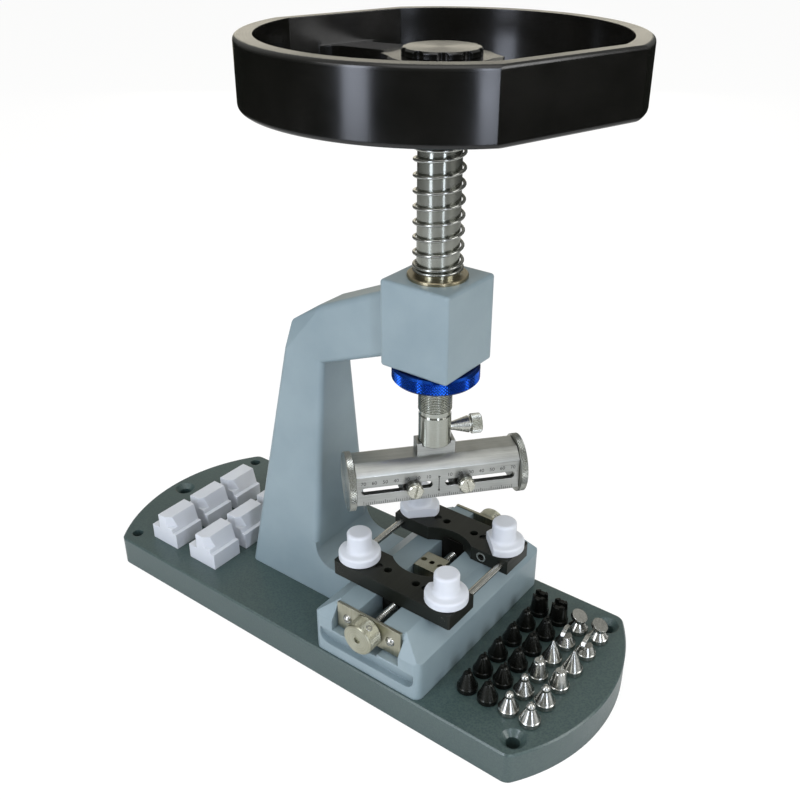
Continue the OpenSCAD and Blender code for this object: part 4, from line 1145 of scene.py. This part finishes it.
@dataclass
class Studio:
    """The camera at the photograph's place, the floor, and soft light from all round."""

    eye: tuple[float, float, float] = (-307.4, -261.9, 343.3)
    pitch: float = 61.38
    heading: float = -52.76
    lens: float = 42.9
    sensor: float = 36.0
    floor_reach: float = 6.0  # metres, as the next two
    white_reach: float = 0.45
    dark_reach: float = 0.9
    floor_colours: tuple[str, str, str] = ("#f2f2f1", "#ffffff", "#1c1e1b")
    floor_white: float = 1.08
    camera_part: float = 0.82  # how much of the floor's own tone the camera doesn't see
    sky_colours: tuple[str, str] = ("#6f716c", "#e6e6e2")
    sky_top: float = 0.8
    sky_power: float = 0.7
    lamps: tuple[Lamp, ...] = (
        Lamp("overhead_softbox", 220.0, 0.35, 1.5, (1.1, 1.1), 5.5),
        Lamp("window_softbox", 160.0, 1.65, 0.95, (0.8, 0.6), 5.0),
        Lamp("front_softbox", 285.0, 1.55, 0.75, (0.8, 0.6), 8.5),
        Lamp("left_strip", 171.0, 1.15, 0.57, (0.28, 1.1), 8.2, aim=0.57, colour="#e6eeff"),
        Lamp("middle_strip", 238.0, 1.15, 0.57, (0.16, 1.1), 5.4, aim=0.57, colour="#e6eeff"),
        Lamp("low_back_reflector", 37.0, 1.45, 0.32, (1.0, 0.55), 1.9, aim=0.28,
             colour="#f4ecd8"),
    )

    def build(self) -> None:
        """Makes the camera, the floor, the sky and the lamps."""
        self.camera()
        self.floor()
        self.sky()
        for lamp in self.lamps:
            lamp.build()

    def camera(self) -> None:
        """Makes the camera with the photograph's place, turn and lens."""
        data = bpy.data.cameras.new("photo_camera")
        data.lens, data.sensor_width, data.clip_start = self.lens, self.sensor, 0.02
        camera = stand(data)
        camera.location = Vector(self.eye) * MM
        camera.rotation_euler = (math.radians(self.pitch), 0.0, math.radians(self.heading))
        bpy.context.scene.camera = camera

    def floor(self) -> None:
        """Makes the pale floor, nearly white to the camera but with the object's shadow."""
        material = bpy.data.materials.new("pale_studio_floor")
        tree = bare_tree(material)
        pale, white, dark = (linear(colour) for colour in self.floor_colours)
        paper = add_node(tree, "ShaderNodeBsdfDiffuse", {"Color": pale})
        glow = add_node(tree, "ShaderNodeEmission", {"Color": white, "Strength": self.floor_white})
        dim = add_node(tree, "ShaderNodeEmission", {"Color": dark})
        path = add_node(tree, "ShaderNodeLightPath")
        part = add_node(tree, "ShaderNodeMath", {
            0: path.outputs["Is Camera Ray"], 1: self.camera_part}, operation="MULTIPLY")
        bright = add_node(tree, "ShaderNodeMixShader", {0: part, 1: paper, 2: glow})
        coords = add_node(tree, "ShaderNodeTexCoord").outputs["Object"]
        reach = add_node(tree, "ShaderNodeVectorMath", {0: coords}, operation="LENGTH")
        fade = add_node(tree, "ShaderNodeMapRange", {
            "Value": reach.outputs["Value"], "From Min": self.white_reach,
            "From Max": self.dark_reach}, interpolation_type="SMOOTHSTEP")
        seen = add_node(tree, "ShaderNodeMath", {0: fade, 1: path.outputs["Is Glossy Ray"]},
                        operation="MULTIPLY")
        mix = add_node(tree, "ShaderNodeMixShader", {0: seen, 1: bright, 2: dim})
        add_node(tree, "ShaderNodeOutputMaterial", {"Surface": mix})
        bm = bmesh.new()
        bmesh.ops.create_grid(bm, x_segments=8, y_segments=8, size=self.floor_reach)
        mesh = mesh_of(bm, "studio_floor")
        mesh.materials.append(material)
        stand(mesh)

    def sky(self) -> None:
        """Makes the surroundings: white to the camera, a soft grey dome to everything else."""
        world = bpy.data.worlds.new("studio_sky")
        bpy.context.scene.world = world
        tree = bare_tree(world)
        path = add_node(tree, "ShaderNodeLightPath")
        ways = add_node(tree, "ShaderNodeTexCoord").outputs["Generated"]
        height = add_node(tree, "ShaderNodeSeparateXYZ", {0: ways}).outputs["Z"]
        ramp = add_node(tree, "ShaderNodeValToRGB", {0: height})
        for stop, place, colour in zip(ramp.color_ramp.elements, (0.0, self.sky_top),
                                       self.sky_colours):
            stop.position, stop.color = place, linear(colour)
        dome = add_node(tree, "ShaderNodeBackground", {"Color": ramp, "Strength": self.sky_power})
        white = add_node(tree, "ShaderNodeBackground", {"Color": linear("#ffffff")})
        mix = add_node(tree, "ShaderNodeMixShader", {0: path.outputs["Is Camera Ray"], 1: dome,
                                                     2: white})
        add_node(tree, "ShaderNodeOutputWorld", {"Surface": mix})


def main() -> None:
    """Builds the studio and the sub-assemblies in order."""
    logging.basicConfig(level=logging.INFO, format="%(name)s: %(message)s")
    bpy.context.scene.view_settings.view_transform = "Standard"
    for assembly in (Studio(), BaseAndFrame(), Vise(), Press(), Chuck(), ThumbScrew(), Scale(),
                     TipRack()):
        LOG.info("building %s", type(assembly).__name__)
        assembly.build()


if __name__ == "__main__":
    main()
